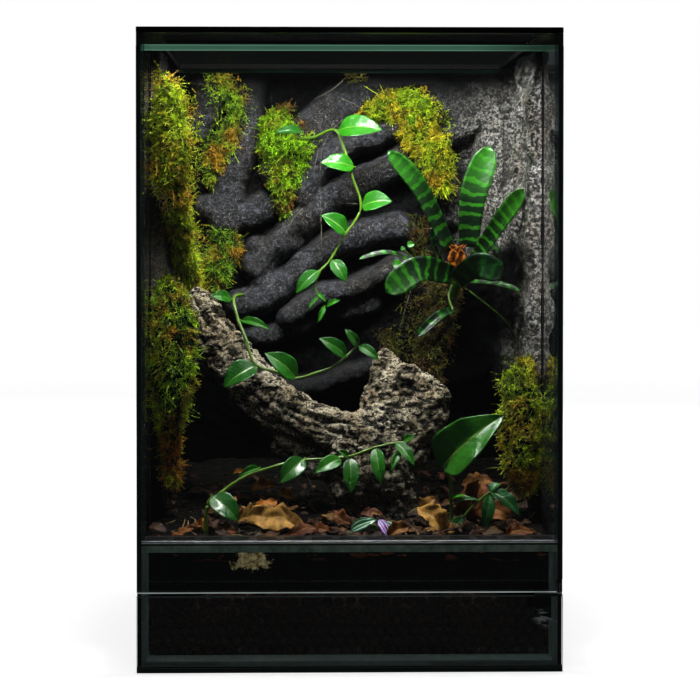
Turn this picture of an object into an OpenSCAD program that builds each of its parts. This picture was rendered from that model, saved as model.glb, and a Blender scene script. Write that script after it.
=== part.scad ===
// Planted all-glass vivarium with a front door hung on its right edge.
// The origin is the centre of the underside, Z is up, the door faces -Y.
// Air enters at the slit under the door, rises through the front channel
// and the slotted strip, and leaves through the mesh at the front of the roof.

/* [Tank] */
// Overall width, door and side panes flush
tank_w = 400; // [380:5:440]
// Overall depth, front lip to back pane
tank_d = 400; // [390:5:440]
// Overall height with the top frame
tank_h = 605; // [595:5:650]
// Thickness of the side and back panes
pane_t = 4; // [3:0.5:5]
// Thickness of the base pane
base_t = 5; // [4:0.5:8]
// Thickness of the roof pane
roof_t = 6; // [4:0.5:8]
// Polished arris on the long edges of the panes
arris = 0.6; // [0.3:0.1:0.9]

/* [Top frame] */
// Height of the top frame
frame_t = 5; // [4.5:0.5:8]
// Width of the frame's side and back rails
rail_w = 16; // [12:1:24]
// Depth of the mesh window behind the front rail
mesh_d = 93; // [70:1:110]
// Width of the rail between the mesh and the roof pane's window
cross_w = 12; // [10:1:18]
// Radius of the frame's outer corners
frame_r = 3; // [1:0.5:6]
// Radius of the window corners
window_r = 5; // [2:0.5:10]
// Width of the ledge that carries the mesh
ledge_w = 4; // [2:0.5:6]
// Thickness of the ledge
ledge_t = 2; // [1.5:0.5:3]
// Thickness of the mesh sheet
mesh_t = 1; // [0.8:0.1:1.5]
// Width of a mesh bar
mesh_bar = 1.6; // [1.2:0.2:3]
// Number of mesh gaps across the width
mesh_nx = 36; // [20:1:37]
// Number of mesh gaps from front to back
mesh_ny = 8; // [6:1:8]

/* [Door] */
// Thickness of the door pane
door_t = 5; // [4:0.5:6]
// Gap between the door and the front edges of the side panes
door_gap = 1.5; // [1.3:0.1:3]
// How far the door's face lies behind the front of the frame
door_setback = 0.5; // [0.2:0.1:1.5]
// Gap between the door and the frame over it
door_top_gap = 0.6; // [0.4:0.1:1.2]
// Height of the air slit under the door
slit_h = 3; // [3:0.5:5]
// Width of the corner blocks set in the door
block_w = 5.6; // [5.2:0.2:9]
// Height of the corner blocks
block_h = 12; // [11:1:20]
// Chamfer on the inner corner of a block
block_chamfer = 2.5; // [1:0.5:4]
// Radius of the pivot pins
pin_r = 1.5; // [1:0.1:1.7]
// Radial clearance of a pin in its bore
pin_clear = 0.05; // [0.03:0.01:0.1]
// Depth of a pivot bore in its block
bore_d = 9; // [6:0.5:10]
// Radius of a pin's head
head_r = 2.1; // [1.8:0.1:2.3]
// Height of a pin's head
head_t = 1; // [0.8:0.1:1.5]

/* [Front channel] */
// Height of the lower front pane's top edge
sill_z = 72; // [60:1:85]
// Thickness of the lower front pane
sill_t = 5; // [4:0.5:5]
// Clear depth between the front edges of the side panes and the retaining pane
channel_d = 24; // [20:1:32]
// Height of the retaining pane's top edge
retain_z = 122; // [118:1:135]
// Thickness of the slotted strip
strip_t = 1.5; // [1:0.1:2]
// Height of the strip's front lip
strip_lip = 11; // [8:1:14]
// Bend radius on the outside of the strip
strip_bend = 2.5; // [2.2:0.1:3]
// Number of slots in a row
slot_n = 15; // [8:1:16]
// Number of rows of slots
slot_rows = 3; // [1:1:3]
// Length of a slot
slot_l = 20; // [10:1:20]
// Width of a slot
slot_w = 3; // [2:0.2:3.4]
// Distance between rows
slot_pitch = 6; // [5:0.5:6]
// Leg of the silicone fillets in the channel
fillet = 5; // [3:0.5:6]
// Width of the seal strips behind the door
seal_w = 3.5; // [2.5:0.5:5]
// Depth of the seal strips
seal_d = 6; // [4:0.5:10]

/* [Lower pivot bracket] */
// Thickness of the bracket's steel
bracket_t = 1.5; // [1:0.1:1.6]
// Length of the arm along the lower front pane
bracket_arm = 26; // [22:1:40]
// Width of the leg behind the pane
bracket_leg_w = 16; // [10:1:18]
// Height of the leg behind the pane
bracket_leg_h = 22; // [14:1:40]
// Thickness of the washer under the door
washer_t = 1.2; // [0.8:0.1:1.2]
// Radius of the washer
washer_r = 2.4; // [2.2:0.1:2.5]
// Height of the steel plate that the catch closes on
catch_h = 12; // [8:1:20]
// Gap between the closed door and the catch plate or seal strips
shut_gap = 0.3; // [0.2:0.05:0.5]

/* [Filling] */
// Top of the clay drainage layer
drain_z = 70; // [40:1:80]
// Thickness of the separator sheet
separator_t = 1.5; // [1:0.5:3]
// Height of the soil at the retaining pane
soil_front_z = 110; // [100:1:114]
// Rise of the soil at the front of the side cladding
soil_mid_rise = 10; // [5:1:20]
// Rise of the soil at the background
soil_back_rise = 40; // [30:1:60]
// Thickness of the litter mat on the soil
litter_t = 5; // [3:0.5:8]
// Depth of the litter mat from the retaining pane
litter_d = 150; // [100:5:160]

/* [Background] */
// Thickness of the background at its flat margin
bg_t = 24; // [16:1:30]
// Thickness of the side cladding at its margin
clad_t = 8; // [5:1:12]
// Height of the small relief on the background
bg_grain = 4; // [0:0.5:6]
// Height of the relief on the side cladding
clad_relief = 6; // [2:0.5:8]

/* [Hidden] */

$fn = 48;
eps = 0.01;
soft_gap = 0.3;

// Inner faces of the tank
in_x = tank_w / 2 - pane_t;
back_y = tank_d / 2 - pane_t;
front_y = -tank_d / 2;
panes_top = tank_h - frame_t;
roof_under = panes_top - roof_t;

// Door and lower front pane
door_face = front_y + door_setback;
door_back = door_face + door_t;
side_front = door_back + door_gap;
door_bottom = sill_z + slit_h;
door_top = panes_top - door_top_gap;
door_half = tank_w / 2 - 0.1;
axis_x = door_half - door_t / 2;
axis_y = door_face + door_t / 2;

// Front channel
retain_front = side_front + channel_d;
bed_front = retain_front + pane_t;

// Roof
mesh_front = front_y + rail_w;
cross_front = mesh_front + mesh_d;
roof_front = cross_front + cross_w / 2;

// Planting bed
bg_face = back_y - bg_t;
clad_front = roof_front;
soil_mid_z = soil_front_z + soil_mid_rise;
soil_back_z = soil_front_z + soil_back_rise;

// The planting plan that the plants and roots are drawn in: its half width, depth and
// height over the soil, the depth in front of the claddings and the height of the soil
plan_size = [196, 337, 484];
plan_front = [80, 110];
kx = in_x / plan_size[0];
ky = (bg_face - bed_front) / plan_size[1];
kz = (roof_under - soil_front_z) / plan_size[2];
k_edge = (clad_front - bed_front) / plan_front[0];
plan_soil_z = plan_front[1];

function soil_top(y) = y < clad_front
    ? soil_front_z + soil_mid_rise * (y - bed_front) / (clad_front - bed_front)
    : soil_mid_z + (soil_back_z - soil_mid_z) * (y - clad_front) / (bg_face - clad_front);

// Ridges of the background: two ends in X and Z, width and height of each
bg_ridges = [
    [-125, 235, -25, 400, 17, 30],
    [-25, 400, 95, 545, 18, 34],
    [-60, 240, 55, 415, 12, 24],
    [-140, 330, -55, 470, 13, 20],
    [20, 250, 110, 330, 14, 18],
    [145, 300, 150, 560, 22, 32],
    [-148, 535, -140, 562, 22, 26],
    [-20, 480, 10, 565, 14, 22],
    [-140, 190, 130, 180, 16, 16],
];

function along(p, a, b) = max(0, min(1, (p - a) * (b - a) / ((b - a) * (b - a))));
function to_line(p, a, b) = norm(p - a - along(p, a, b) * (b - a));
function ridge(x, z, r) = ky * r[5] * exp(-pow(to_line([x, z], [r[0], r[1]], [r[2], r[3]]) / r[4], 2));
function fade(v, low, high, run) = min(1, max(0, (v - low) / run)) * min(1, max(0, (high - v) / run));
bg_margin = clad_t + 2 * clad_relief + 2;
function bg_relief(x, z) = fade(x, bg_margin - in_x, in_x - bg_margin, 20)
    * fade(z, soil_back_z + 8, roof_under, 28)
    * (max([for (r = bg_ridges) ridge(x / kx, plan_soil_z + (z - soil_front_z) / kz, r)])
        + bg_grain * (1 + 0.5 * sin(5.3 * x + 3.1 * z) + 0.5 * sin(2.3 * x - 6.7 * z)));
function clad_bump(y, z) = fade(y, clad_front, bg_face, 30) * fade(z, soil_back_z, roof_under, 30)
    * clad_relief * (1 + 0.6 * sin(3.1 * y + 1.7 * z) + 0.4 * sin(4.3 * z - 2.2 * y));

// Outline of a pane's cross-section with its four arrises
module pane_section(w, t, c = arris) {
    polygon([[c, 0], [w - c, 0], [w, c], [w, t - c], [w - c, t], [c, t], [0, t - c], [0, c]]);
}

// Extrudes an outline drawn in Y and Z along X, centred
module along_x(length) {
    rotate([90, 0, 90])
        linear_extrude(height = length, center = true)
            children();
}

module rounded_square(w, d, r) {
    translate([r, 0]) square([w - 2 * r, d]);
    translate([0, r]) square([w, d - 2 * r]);
    for (x = [r, w - r], y = [r, d - r])
        translate([x, y]) circle(r);
}

// Panes
module base_glass() {
    color([0.16, 0.26, 0.22, 0.6])
        along_x(tank_w)
            translate([door_face, 0])
                pane_section(tank_d / 2 - door_face, base_t);
}

module back_glass() {
    color([0.7, 0.85, 0.8, 0.3])
        translate([-in_x, back_y, base_t])
            linear_extrude(height = panes_top - base_t)
                pane_section(2 * in_x, pane_t);
}

module side_glass(side) {
    color([0.7, 0.85, 0.8, 0.3])
        translate([side < 0 ? -tank_w / 2 : in_x, side_front, base_t])
            linear_extrude(height = panes_top - base_t)
                pane_section(pane_t, tank_d / 2 - side_front);
}

module left_side_glass() side_glass(-1);
module right_side_glass() side_glass(1);

module lower_front_glass() {
    color([0.7, 0.85, 0.8, 0.3])
        along_x(tank_w)
            translate([door_face, base_t])
                pane_section(sill_t, sill_z - base_t);
}

module retaining_glass() {
    color([0.7, 0.85, 0.8, 0.3])
        along_x(2 * in_x)
            translate([retain_front, base_t])
                pane_section(pane_t, retain_z - base_t);
}

module roof_glass() {
    color([0.55, 0.8, 0.65, 0.4])
        along_x(2 * in_x)
            translate([roof_front, roof_under])
                pane_section(back_y - roof_front, roof_t);
}

// Black top frame: ring, cross rail, mesh ledge and the seat of the upper pivot
module top_frame() {
    window_w = tank_w - 2 * rail_w;
    roof_window = tank_d / 2 - rail_w - cross_front - cross_w;
    color([0.04, 0.04, 0.045])
        difference() {
            translate([-tank_w / 2, front_y, panes_top])
                linear_extrude(height = frame_t)
                    rounded_square(tank_w, tank_d, frame_r);
            translate([-window_w / 2 + ledge_w, mesh_front + ledge_w, panes_top - eps])
                linear_extrude(height = frame_t + 2 * eps)
                    rounded_square(window_w - 2 * ledge_w, mesh_d - 2 * ledge_w, window_r - 1);
            translate([-window_w / 2, mesh_front, panes_top + ledge_t])
                linear_extrude(height = frame_t)
                    rounded_square(window_w, mesh_d, window_r);
            translate([-window_w / 2, cross_front + cross_w, panes_top - eps])
                linear_extrude(height = frame_t + 2 * eps)
                    rounded_square(window_w, roof_window, window_r);
            translate([axis_x, axis_y, panes_top - eps])
                cylinder(r = pin_r, h = frame_t + 2 * eps);
            translate([axis_x, axis_y, tank_h - head_t])
                cylinder(r = head_r, h = head_t + eps);
        }
}

// Mesh sheet with its solid border, dropped on the ledge
module roof_vent_mesh() {
    w = tank_w - 2 * rail_w - 2 * soft_gap;
    d = mesh_d - 2 * soft_gap;
    border = ledge_w + 1;
    gap_x = (w - 2 * border - (mesh_nx - 1) * mesh_bar) / mesh_nx;
    gap_y = (d - 2 * border - (mesh_ny - 1) * mesh_bar) / mesh_ny;
    color([0.08, 0.08, 0.09])
        translate([-w / 2, mesh_front + soft_gap, panes_top + ledge_t])
            linear_extrude(height = mesh_t)
                difference() {
                    rounded_square(w, d, window_r - soft_gap);
                    for (i = [0:mesh_nx - 1], j = [0:mesh_ny - 1])
                        translate([border + i * (gap_x + mesh_bar), border + j * (gap_y + mesh_bar)])
                            square([gap_x, gap_y]);
                }
}

// Bent strip over the channel: flat with rows of slots, and a front lip
module strip_section(length) {
    depth = bed_front - door_back - soft_gap;
    inner = strip_bend - strip_t;
    along_x(length)
        translate([door_back + soft_gap, retain_z + strip_t])
            difference() {
                union() {
                    translate([strip_bend, -strip_t]) square([depth - strip_bend, strip_t]);
                    translate([0, -strip_lip]) square([strip_t, strip_lip - strip_bend]);
                    intersection() {
                        translate([strip_bend, -strip_bend]) circle(strip_bend);
                        translate([0, -strip_bend]) square(strip_bend);
                    }
                }
                translate([strip_bend, -strip_bend]) circle(inner);
            }
}

module slot() {
    translate([-slot_l / 2 + slot_w / 2, 0]) circle(slot_w / 2);
    translate([slot_l / 2 - slot_w / 2, 0]) circle(slot_w / 2);
    translate([-slot_l / 2 + slot_w / 2, -slot_w / 2]) square([slot_l - slot_w, slot_w]);
}

module front_vent_strip() {
    length = 2 * in_x - 2 * soft_gap;
    pitch = length / slot_n;
    row_0 = (door_back + retain_front) / 2 + 1;
    color([0.22, 0.25, 0.24])
        difference() {
            strip_section(length);
            for (i = [0:slot_n - 1], j = [0:slot_rows - 1])
                translate([(i - (slot_n - 1) / 2) * pitch,
                        row_0 + (j - (slot_rows - 1) / 2) * slot_pitch, retain_z - 1])
                    linear_extrude(height = strip_t + 2)
                        slot();
        }
}

// Silicone
module front_bond_silicone() {
    color([0.05, 0.05, 0.05]) {
        for (x = [-tank_w / 2 + arris, in_x])
            translate([x, door_face + sill_t, base_t])
                cube([pane_t - arris, side_front - door_face - sill_t, sill_z - base_t - arris]);
    }
}

module fillet_section(leg) {
    difference() {
        square(leg);
        translate([leg, leg]) circle(leg);
    }
}

module channel_silicone() {
    near = door_face + sill_t;
    clear = retain_front - near;
    height = sill_z - base_t - bracket_leg_h - 4;
    color([0.45, 0.5, 0.47]) {
        translate([0, near, base_t])
            along_x(2 * in_x)
                fillet_section(fillet);
        translate([0, retain_front, base_t])
            mirror([0, 1, 0])
                along_x(2 * in_x)
                    fillet_section(fillet);
        for (side = [-1, 1])
            scale([side, 1, 1]) {
                translate([-in_x, retain_front, base_t])
                    rotate([0, 0, -90])
                        linear_extrude(height = retain_z - base_t - strip_lip)
                            fillet_section(fillet);
                translate([-in_x, side_front, base_t])
                    linear_extrude(height = height)
                        fillet_section(fillet);
                translate([-in_x, near + clear / 2, base_t])
                    rotate([90, 0, 0])
                        linear_extrude(height = clear, center = true)
                            fillet_section(fillet);
            }
    }
}

// Clear strips on the side panes that the door closes on
module seal_strip(side) {
    color([0.75, 0.8, 0.78, 0.6])
        scale([side, 1, 1])
            translate([in_x - seal_w, door_back + shut_gap, retain_z + strip_t + soft_gap])
                linear_extrude(height = panes_top - retain_z - strip_t - 2 * soft_gap)
                    difference() {
                        square([seal_w, seal_d]);
                        translate([0, seal_d]) circle(seal_w - 1);
                    }
}

module left_seal_strip() seal_strip(-1);
module right_seal_strip() seal_strip(1);

// Steel plate on the left pane's front edge
module catch_plate() {
    color([0.5, 0.5, 0.5])
        translate([-tank_w / 2 + arris, door_back + shut_gap, door_top - catch_h])
            cube([pane_t - 2 * arris, door_gap - shut_gap, catch_h]);
}

// Pivots
module upper_pivot_pin() {
    color([0.65, 0.66, 0.68])
        translate([axis_x, axis_y, 0]) {
            translate([0, 0, door_top - bore_d + 0.5])
                cylinder(r = pin_r, h = tank_h - head_t - door_top + bore_d - 0.5);
            translate([0, 0, tank_h - head_t])
                cylinder(r = head_r, h = head_t);
        }
}

// Bent steel arm on the lower front pane, with its leg behind the pane
module lower_pivot_bracket() {
    arm_0 = axis_x + door_t / 2 - bracket_arm;
    color([0.6, 0.61, 0.63])
        difference() {
            union() {
                translate([arm_0, door_face, sill_z])
                    cube([axis_x - arm_0, door_t, bracket_t]);
                translate([axis_x, axis_y, sill_z])
                    cylinder(r = door_t / 2, h = bracket_t);
                translate([arm_0, door_back - eps, sill_z])
                    cube([bracket_leg_w, bracket_t + eps, bracket_t]);
                translate([arm_0, door_face + sill_t, sill_z - bracket_leg_h])
                    cube([bracket_leg_w, door_back + bracket_t - door_face - sill_t, bracket_leg_h + eps]);
            }
            translate([axis_x, axis_y, sill_z - eps])
                cylinder(r = pin_r, h = bracket_t + 2 * eps);
        }
}

module lower_pivot_pin() {
    color([0.65, 0.66, 0.68])
        translate([axis_x, axis_y, sill_z])
            cylinder(r = pin_r, h = slit_h + bore_d - 0.5);
}

module pivot_washer() {
    color([0.9, 0.9, 0.88])
        translate([axis_x, axis_y, sill_z + bracket_t])
            difference() {
                cylinder(r = washer_r, h = washer_t);
                translate([0, 0, -eps]) cylinder(r = pin_r + pin_clear, h = washer_t + 2 * eps);
            }
}

// Door
module corner_outline() {
    polygon([[0, 0], [block_w, 0], [block_w, block_h], [block_chamfer, block_h], [0, block_h - block_chamfer]]);
}

// The outline of one corner block, at the right edge of the door, growing up from z
module corner_cut(up) {
    translate([door_half - block_w, door_back, up > 0 ? door_bottom : door_top])
        scale([1, 1, up])
            rotate([90, 0, 0])
                linear_extrude(height = door_t)
                    corner_outline();
}

module corner_block(up) {
    intersection() {
        corner_cut(up);
        union() {
            translate([axis_x, axis_y, door_bottom])
                cylinder(r = door_t / 2, h = door_top - door_bottom);
            translate([door_half - block_w, door_face, door_bottom])
                cube([block_w - door_t / 2, door_t, door_top - door_bottom]);
        }
    }
}

module pivot_bore(z) {
    translate([axis_x, axis_y, z])
        cylinder(r = pin_r + pin_clear, h = bore_d);
}

module door_glass() {
    color([0.75, 0.9, 0.85, 0.25])
        difference() {
            translate([-door_half, door_face, door_bottom])
                linear_extrude(height = door_top - door_bottom)
                    pane_section(2 * door_half, door_t);
            translate([0, -eps, 0]) corner_cut(1);
            translate([0, eps, 0]) corner_cut(1);
            translate([0, -eps, 0]) corner_cut(-1);
            translate([0, eps, 0]) corner_cut(-1);
            mirror([1, 0, 0]) {
                translate([0, -eps, 0]) corner_cut(-1);
                translate([0, eps, 0]) corner_cut(-1);
            }
        }
}

module door_upper_block() {
    color([0.05, 0.05, 0.05])
        difference() {
            corner_block(-1);
            pivot_bore(door_top - bore_d);
        }
}

module door_lower_block() {
    color([0.8, 0.85, 0.83, 0.7])
        difference() {
            corner_block(1);
            pivot_bore(door_bottom);
        }
}

module door_catch_block() {
    color([0.05, 0.05, 0.05])
        mirror([1, 0, 0])
            corner_block(-1);
}

// Filling of the bed
module bed_slab(half_w, top, bottom, back) {
    along_x(2 * half_w)
        polygon([[bed_front, bottom], [back, bottom], [back, top], [bed_front, top]]);
}

module drainage_layer() {
    color([0.36, 0.24, 0.17])
        bed_slab(in_x, drain_z, base_t, bg_face);
}

module separator_sheet() {
    color([0.15, 0.15, 0.15])
        bed_slab(in_x, drain_z + separator_t, drain_z, bg_face);
}

module soil() {
    bottom = drain_z + separator_t;
    color([0.14, 0.1, 0.07])
        along_x(2 * in_x)
            polygon([
                [bed_front, bottom], [bg_face, bottom], [bg_face, soil_back_z],
                [clad_front, soil_mid_z], [bed_front, soil_front_z],
            ]);
}

// Space taken by the soil and the litter mat, grown by a gap, for what stands on them
module ground(grow = 0) {
    along_x(2 * in_x + 2)
        polygon([
            [bed_front - 20, 0], [back_y + 5, 0], [back_y + 5, soil_back_z + grow],
            [bg_face, soil_back_z + grow], [clad_front, soil_mid_z + grow],
            [bed_front - 20, soil_front_z - soil_mid_rise * 20 / (clad_front - bed_front) + grow],
        ]);
}

// Sizes of a leaf blade along its length: narrow base, full middle, drawn tip
blade_t = [0.14, 0.34, 0.56, 0.78, 0.92];
oval_blade = [0.62, 0.98, 0.94, 0.58, 0.26];
strap_blade = [0.85, 0.96, 1.0, 0.85, 0.45];

function unit(v) = v / max(norm(v), 0.001);
function blade_ring(p, side, up, w, fold, th) = [
    p - side * w / 2 + up * fold * w / 2,
    p + up * th / 2,
    p + side * w / 2 + up * fold * w / 2,
    p - up * th / 2,
];

// One leaf as a thin closed blade from its base to its tip, arched along its
// length and folded along its midrib
module leaf(base, tip, width, face = [0, -1, 0.3], arch = 0.15, fold = 0.25, th = 0.9, blade = oval_blade) {
    length = norm(tip - base);
    run = unit(tip - base);
    side = unit(cross(run, face));
    up = cross(side, run);
    rings = [for (i = [0:len(blade_t) - 1])
        blade_ring(base + run * length * blade_t[i]
            + up * length * arch * 4 * blade_t[i] * (1 - blade_t[i]),
            side, up, width * blade[i], fold, th)];
    points = concat([base], [for (r = rings, p = r) p], [tip]);
    last = len(points) - 1;
    n = len(rings);
    faces = concat(
        [for (k = [0:3]) [0, 1 + k, 1 + (k + 1) % 4]],
        [for (i = [0:n - 2], k = [0:3])
            [1 + 4 * i + k, 5 + 4 * i + (k + 1) % 4, 1 + 4 * i + (k + 1) % 4]],
        [for (i = [0:n - 2], k = [0:3])
            [1 + 4 * i + k, 5 + 4 * i + k, 5 + 4 * i + (k + 1) % 4]],
        [for (k = [0:3]) [last, 4 * n - 3 + (k + 1) % 4, 4 * n - 3 + k]]
    );
    polyhedron(points = points, faces = faces, convexity = 4);
}

// A run of hulls between round lumps, each given as X, Y, Z and radius
module chain(lumps, squash = [1, 1, 1], grow = 0, sides = 8) {
    for (i = [0:len(lumps) - 2])
        hull()
            for (j = [i, i + 1])
                translate([lumps[j][0], lumps[j][1], lumps[j][2]])
                    scale(squash)
                        sphere(r = lumps[j][3] + grow, $fn = sides);
}

// Places of the plan: from the retaining pane on the soil, from the background, and
// from the front ends of the side claddings
module on_bed() {
    translate([0, bed_front, soil_front_z])
        scale([kx, ky, kz])
            children();
}

module on_back() {
    translate([0, bg_face, soil_front_z])
        scale([kx, ky, kz])
            translate([0, 0, -plan_soil_z])
                children();
}

module on_edge(side) {
    translate([side * in_x, bed_front, soil_front_z])
        scale([kx, k_edge, kz])
            translate([0, 0, -plan_soil_z])
                children();
}

// Litter mat with fallen leaves and stalks
litter_leaves = [
    [-184, 16, 8, -150, 32, 12, 22], [-112, 12, 8, -78, 26, 12, 20],
    [-84, 52, 11, -46, 30, 12, 24], [-60, 12, 7, -20, 22, 10, 19],
    [-34, 44, 11, 4, 60, 13, 22], [2, 14, 8, 40, 10, 9, 18],
    [66, 24, 9, 100, 44, 13, 24], [104, 14, 8, 140, 30, 11, 22],
    [128, 58, 12, 168, 70, 16, 26], [150, 16, 8, 184, 36, 12, 20],
    [-176, 50, 11, -140, 72, 14, 22], [60, 76, 13, 96, 92, 17, 20],
];
litter_stalks = [
    [-120, 60, 10, 1], [-104, 52, 11, 1], [-88, 46, 10, 1], [-70, 42, 11, 1], [-50, 40, 10, 1],
    [-30, 30, 10, 1], [-12, 26, 10, 1], [10, 30, 9, 1], [30, 34, 9, 1], [48, 40, 10, 1],
];

module litter_mat(grow = 0) {
    rise = soil_mid_rise / (clad_front - bed_front);
    back = bed_front + litter_d;
    top = soil_top(back);
    along_x(2 * in_x)
        polygon([
            [bed_front, soil_front_z], [clad_front, soil_mid_z], [back, top],
            [back, top + grow], [clad_front, soil_mid_z + litter_t + grow],
            [bed_front + litter_t, soil_front_z + litter_t + rise * litter_t + grow],
            [bed_front, soil_front_z + litter_t / 2 + grow],
        ]);
}

module leaf_litter() {
    color([0.55, 0.42, 0.22])
        difference() {
            union() {
                litter_mat();
                on_bed() {
                    for (l = litter_leaves)
                        leaf([l[0], l[1], l[2] - 3], [l[3], l[4], l[5]], l[6],
                            face = [0, -0.3, 1], arch = 0.12, fold = 0.3);
                    chain(litter_stalks, sides = 6);
                }
            }
            ground();
            walls(soft_gap);
        }
}

// Background: a slab with roots and rock ridges standing out of its front
module relief_panel(nx, nz, grow = 0) {
    z0 = base_t;
    z1 = roof_under;
    dx = 2 * in_x / nx;
    dz = (z1 - z0) / nz;
    front = [for (k = [0:nz], i = [0:nx])
        let (x = -in_x + i * dx, z = z0 + k * dz)
            [x, bg_face - bg_relief(x, z) - grow, z]];
    n = (nx + 1) * (nz + 1);
    corners = [[-in_x, back_y, z0], [in_x, back_y, z0], [in_x, back_y, z1], [-in_x, back_y, z1]];
    quads = [for (k = [0:nz - 1], i = [0:nx - 1]) let (a = k * (nx + 1) + i) [a, a + 1, a + nx + 2, a + nx + 1]];
    faces = concat(
        [for (q = quads) [q[0], q[2], q[1]]],
        [for (q = quads) [q[0], q[3], q[2]]],
        [concat([n], [for (i = [0:nx]) i], [n + 1])],
        [concat([n + 2], [for (i = [0:nx]) n - 1 - i], [n + 3])],
        [concat([n + 3], [for (k = [0:nz]) (nz - k) * (nx + 1)], [n])],
        [concat([n + 1], [for (k = [0:nz]) k * (nx + 1) + nx], [n + 2])],
        [[n, n + 1, n + 2, n + 3]]
    );
    polyhedron(points = concat(front, corners), faces = faces, convexity = 8);
}

module background() {
    color([0.13, 0.13, 0.14])
        relief_panel(26, 32);
}

// Side cladding: from the roof pane's front edge to the background, standing on the soil
module clad_panel(side, ny, nz, grow = 0) {
    z1 = roof_under;
    wall = side * in_x;
    face_x = side * (in_x - clad_t - grow);
    front = [for (k = [0:nz], j = [0:ny])
        let (y = clad_front + (bg_face - clad_front) * j / ny,
            z0 = soil_top(y), z = z0 + (z1 - z0) * k / nz)
            [face_x - side * clad_bump(y, z), y, z]];
    n = (ny + 1) * (nz + 1);
    corners = [[wall, clad_front, soil_mid_z], [wall, bg_face, soil_back_z], [wall, bg_face, z1], [wall, clad_front, z1]];
    quads = [for (k = [0:nz - 1], j = [0:ny - 1]) let (a = k * (ny + 1) + j) [a, a + 1, a + ny + 2, a + ny + 1]];
    left = concat(
        [for (q = quads) [q[0], q[1], q[2]]],
        [for (q = quads) [q[0], q[2], q[3]]],
        [concat([n + 1], [for (j = [0:ny]) ny - j], [n])],
        [concat([n + 3], [for (j = [0:ny]) n - 1 - ny + j], [n + 2])],
        [concat([n], [for (k = [0:nz]) k * (ny + 1)], [n + 3])],
        [concat([n + 2], [for (k = [0:nz]) (nz - k) * (ny + 1) + ny], [n + 1])],
        [[n + 3, n + 2, n + 1, n]]
    );
    flip = function (f) [for (i = [len(f) - 1:-1:0]) f[i]];
    faces = side < 0 ? [for (f = left) flip(f)] : left;
    polyhedron(points = concat(front, corners), faces = faces, convexity = 8);
}

module left_cladding() {
    color([0.16, 0.13, 0.1])
        clad_panel(-1, 10, 16);
}

module right_cladding() {
    color([0.13, 0.13, 0.14])
        clad_panel(1, 10, 16);
}

module walls(grow) {
    relief_panel(26, 32, grow);
    clad_panel(-1, 10, 16, grow);
    clad_panel(1, 10, 16, grow);
}

// Cork bark in a V: a broad trunk with a long left limb and a short right one
cork_trunk = [[38, 110, -8, 40], [32, 108, 30, 44], [26, 106, 66, 40], [22, 108, 98, 32]];
cork_left = [
    [4, 110, 92, 26], [-22, 114, 102, 23], [-52, 122, 112, 23], [-84, 134, 134, 23],
    [-110, 150, 166, 21], [-134, 162, 198, 18], [-154, 172, 226, 12],
];
cork_right = [[34, 112, 92, 28], [42, 122, 130, 22], [50, 128, 152, 14]];
cork_shoulder = [[54, 116, 80, 28], [76, 126, 118, 24], [92, 130, 132, 14]];

module cork_mass(grow = 0) {
    on_bed() {
        chain(cork_trunk, squash = [1, 0.5, 1], grow = grow);
        chain(cork_left, squash = [1, 0.62, 1], grow = grow);
        chain(cork_right, squash = [1, 0.6, 1], grow = grow);
        chain(cork_shoulder, squash = [1, 0.6, 1], grow = grow);
    }
}

module cork_bark() {
    color([0.6, 0.52, 0.4])
        difference() {
            cork_mass();
            ground();
            litter_mat(soft_gap);
            walls(soft_gap);
        }
}

// Moss cushions, each a run of lumps seated on the wall behind it
module moss_on_back(lumps, tone) {
    color(tone)
        difference() {
            on_back() chain(lumps, squash = [1, 0.7, 1.1], sides = 7);
            walls(soft_gap);
        }
}

module moss_upper_left() {
    color([0.55, 0.55, 0.15])
        difference() {
            on_edge(-1)
                chain([
                    [17, 66, 564, 9], [19, 66, 550, 15], [22, 64, 532, 19], [20, 64, 512, 21],
                    [24, 64, 492, 21], [22, 66, 472, 20], [23, 74, 454, 18], [22, 90, 440, 17],
                    [23, 114, 428, 16], [24, 144, 416, 16], [23, 174, 404, 16], [24, 204, 392, 16],
                    [25, 232, 380, 16], [27, 258, 368, 16], [29, 282, 356, 15], [30, 302, 344, 12],
                ], squash = [1, 0.9, 1], sides = 7);
            walls(soft_gap);
            translate([-in_x - 50, front_y, 0]) cube([50 + soft_gap, tank_d, tank_h]);
        }
}

module moss_dark() {
    moss_on_back([
        [-146, -6, 572, 9], [-132, -8, 574, 14], [-126, -9, 560, 18], [-122, -9, 544, 19],
        [-130, -9, 528, 19], [-136, -9, 512, 19], [-140, -8, 496, 16], [-144, -7, 484, 12],
        [-146, -5, 474, 8],
    ], [0.16, 0.25, 0.1]);
}

module moss_centre() {
    moss_on_back([
        [-66, -14, 548, 9], [-76, -15, 534, 14], [-66, -16, 522, 19], [-78, -15, 512, 16],
        [-58, -19, 504, 21], [-46, -20, 510, 14], [-60, -19, 486, 20], [-62, -18, 468, 16],
        [-64, -17, 450, 11], [-66, -16, 438, 7],
    ], [0.36, 0.45, 0.14]);
}

module moss_grass() {
    moss_on_back([
        [-136, -8, 414, 9], [-132, -10, 404, 14], [-128, -11, 392, 18], [-134, -11, 380, 20],
        [-130, -11, 368, 19], [-136, -10, 356, 16], [-140, -9, 346, 12], [-142, -7, 338, 8],
        [-142, -6, 332, 6],
    ], [0.3, 0.4, 0.12]);
}

module moss_arch() {
    moss_on_back([
        [22, -14, 534, 9], [32, -17, 544, 14], [46, -21, 550, 16], [62, -25, 554, 17],
        [78, -30, 552, 19], [90, -32, 540, 20], [84, -33, 524, 20], [96, -34, 512, 20],
        [106, -33, 496, 19], [110, -31, 480, 16], [114, -29, 466, 11],
    ], [0.5, 0.45, 0.14]);
}

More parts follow.
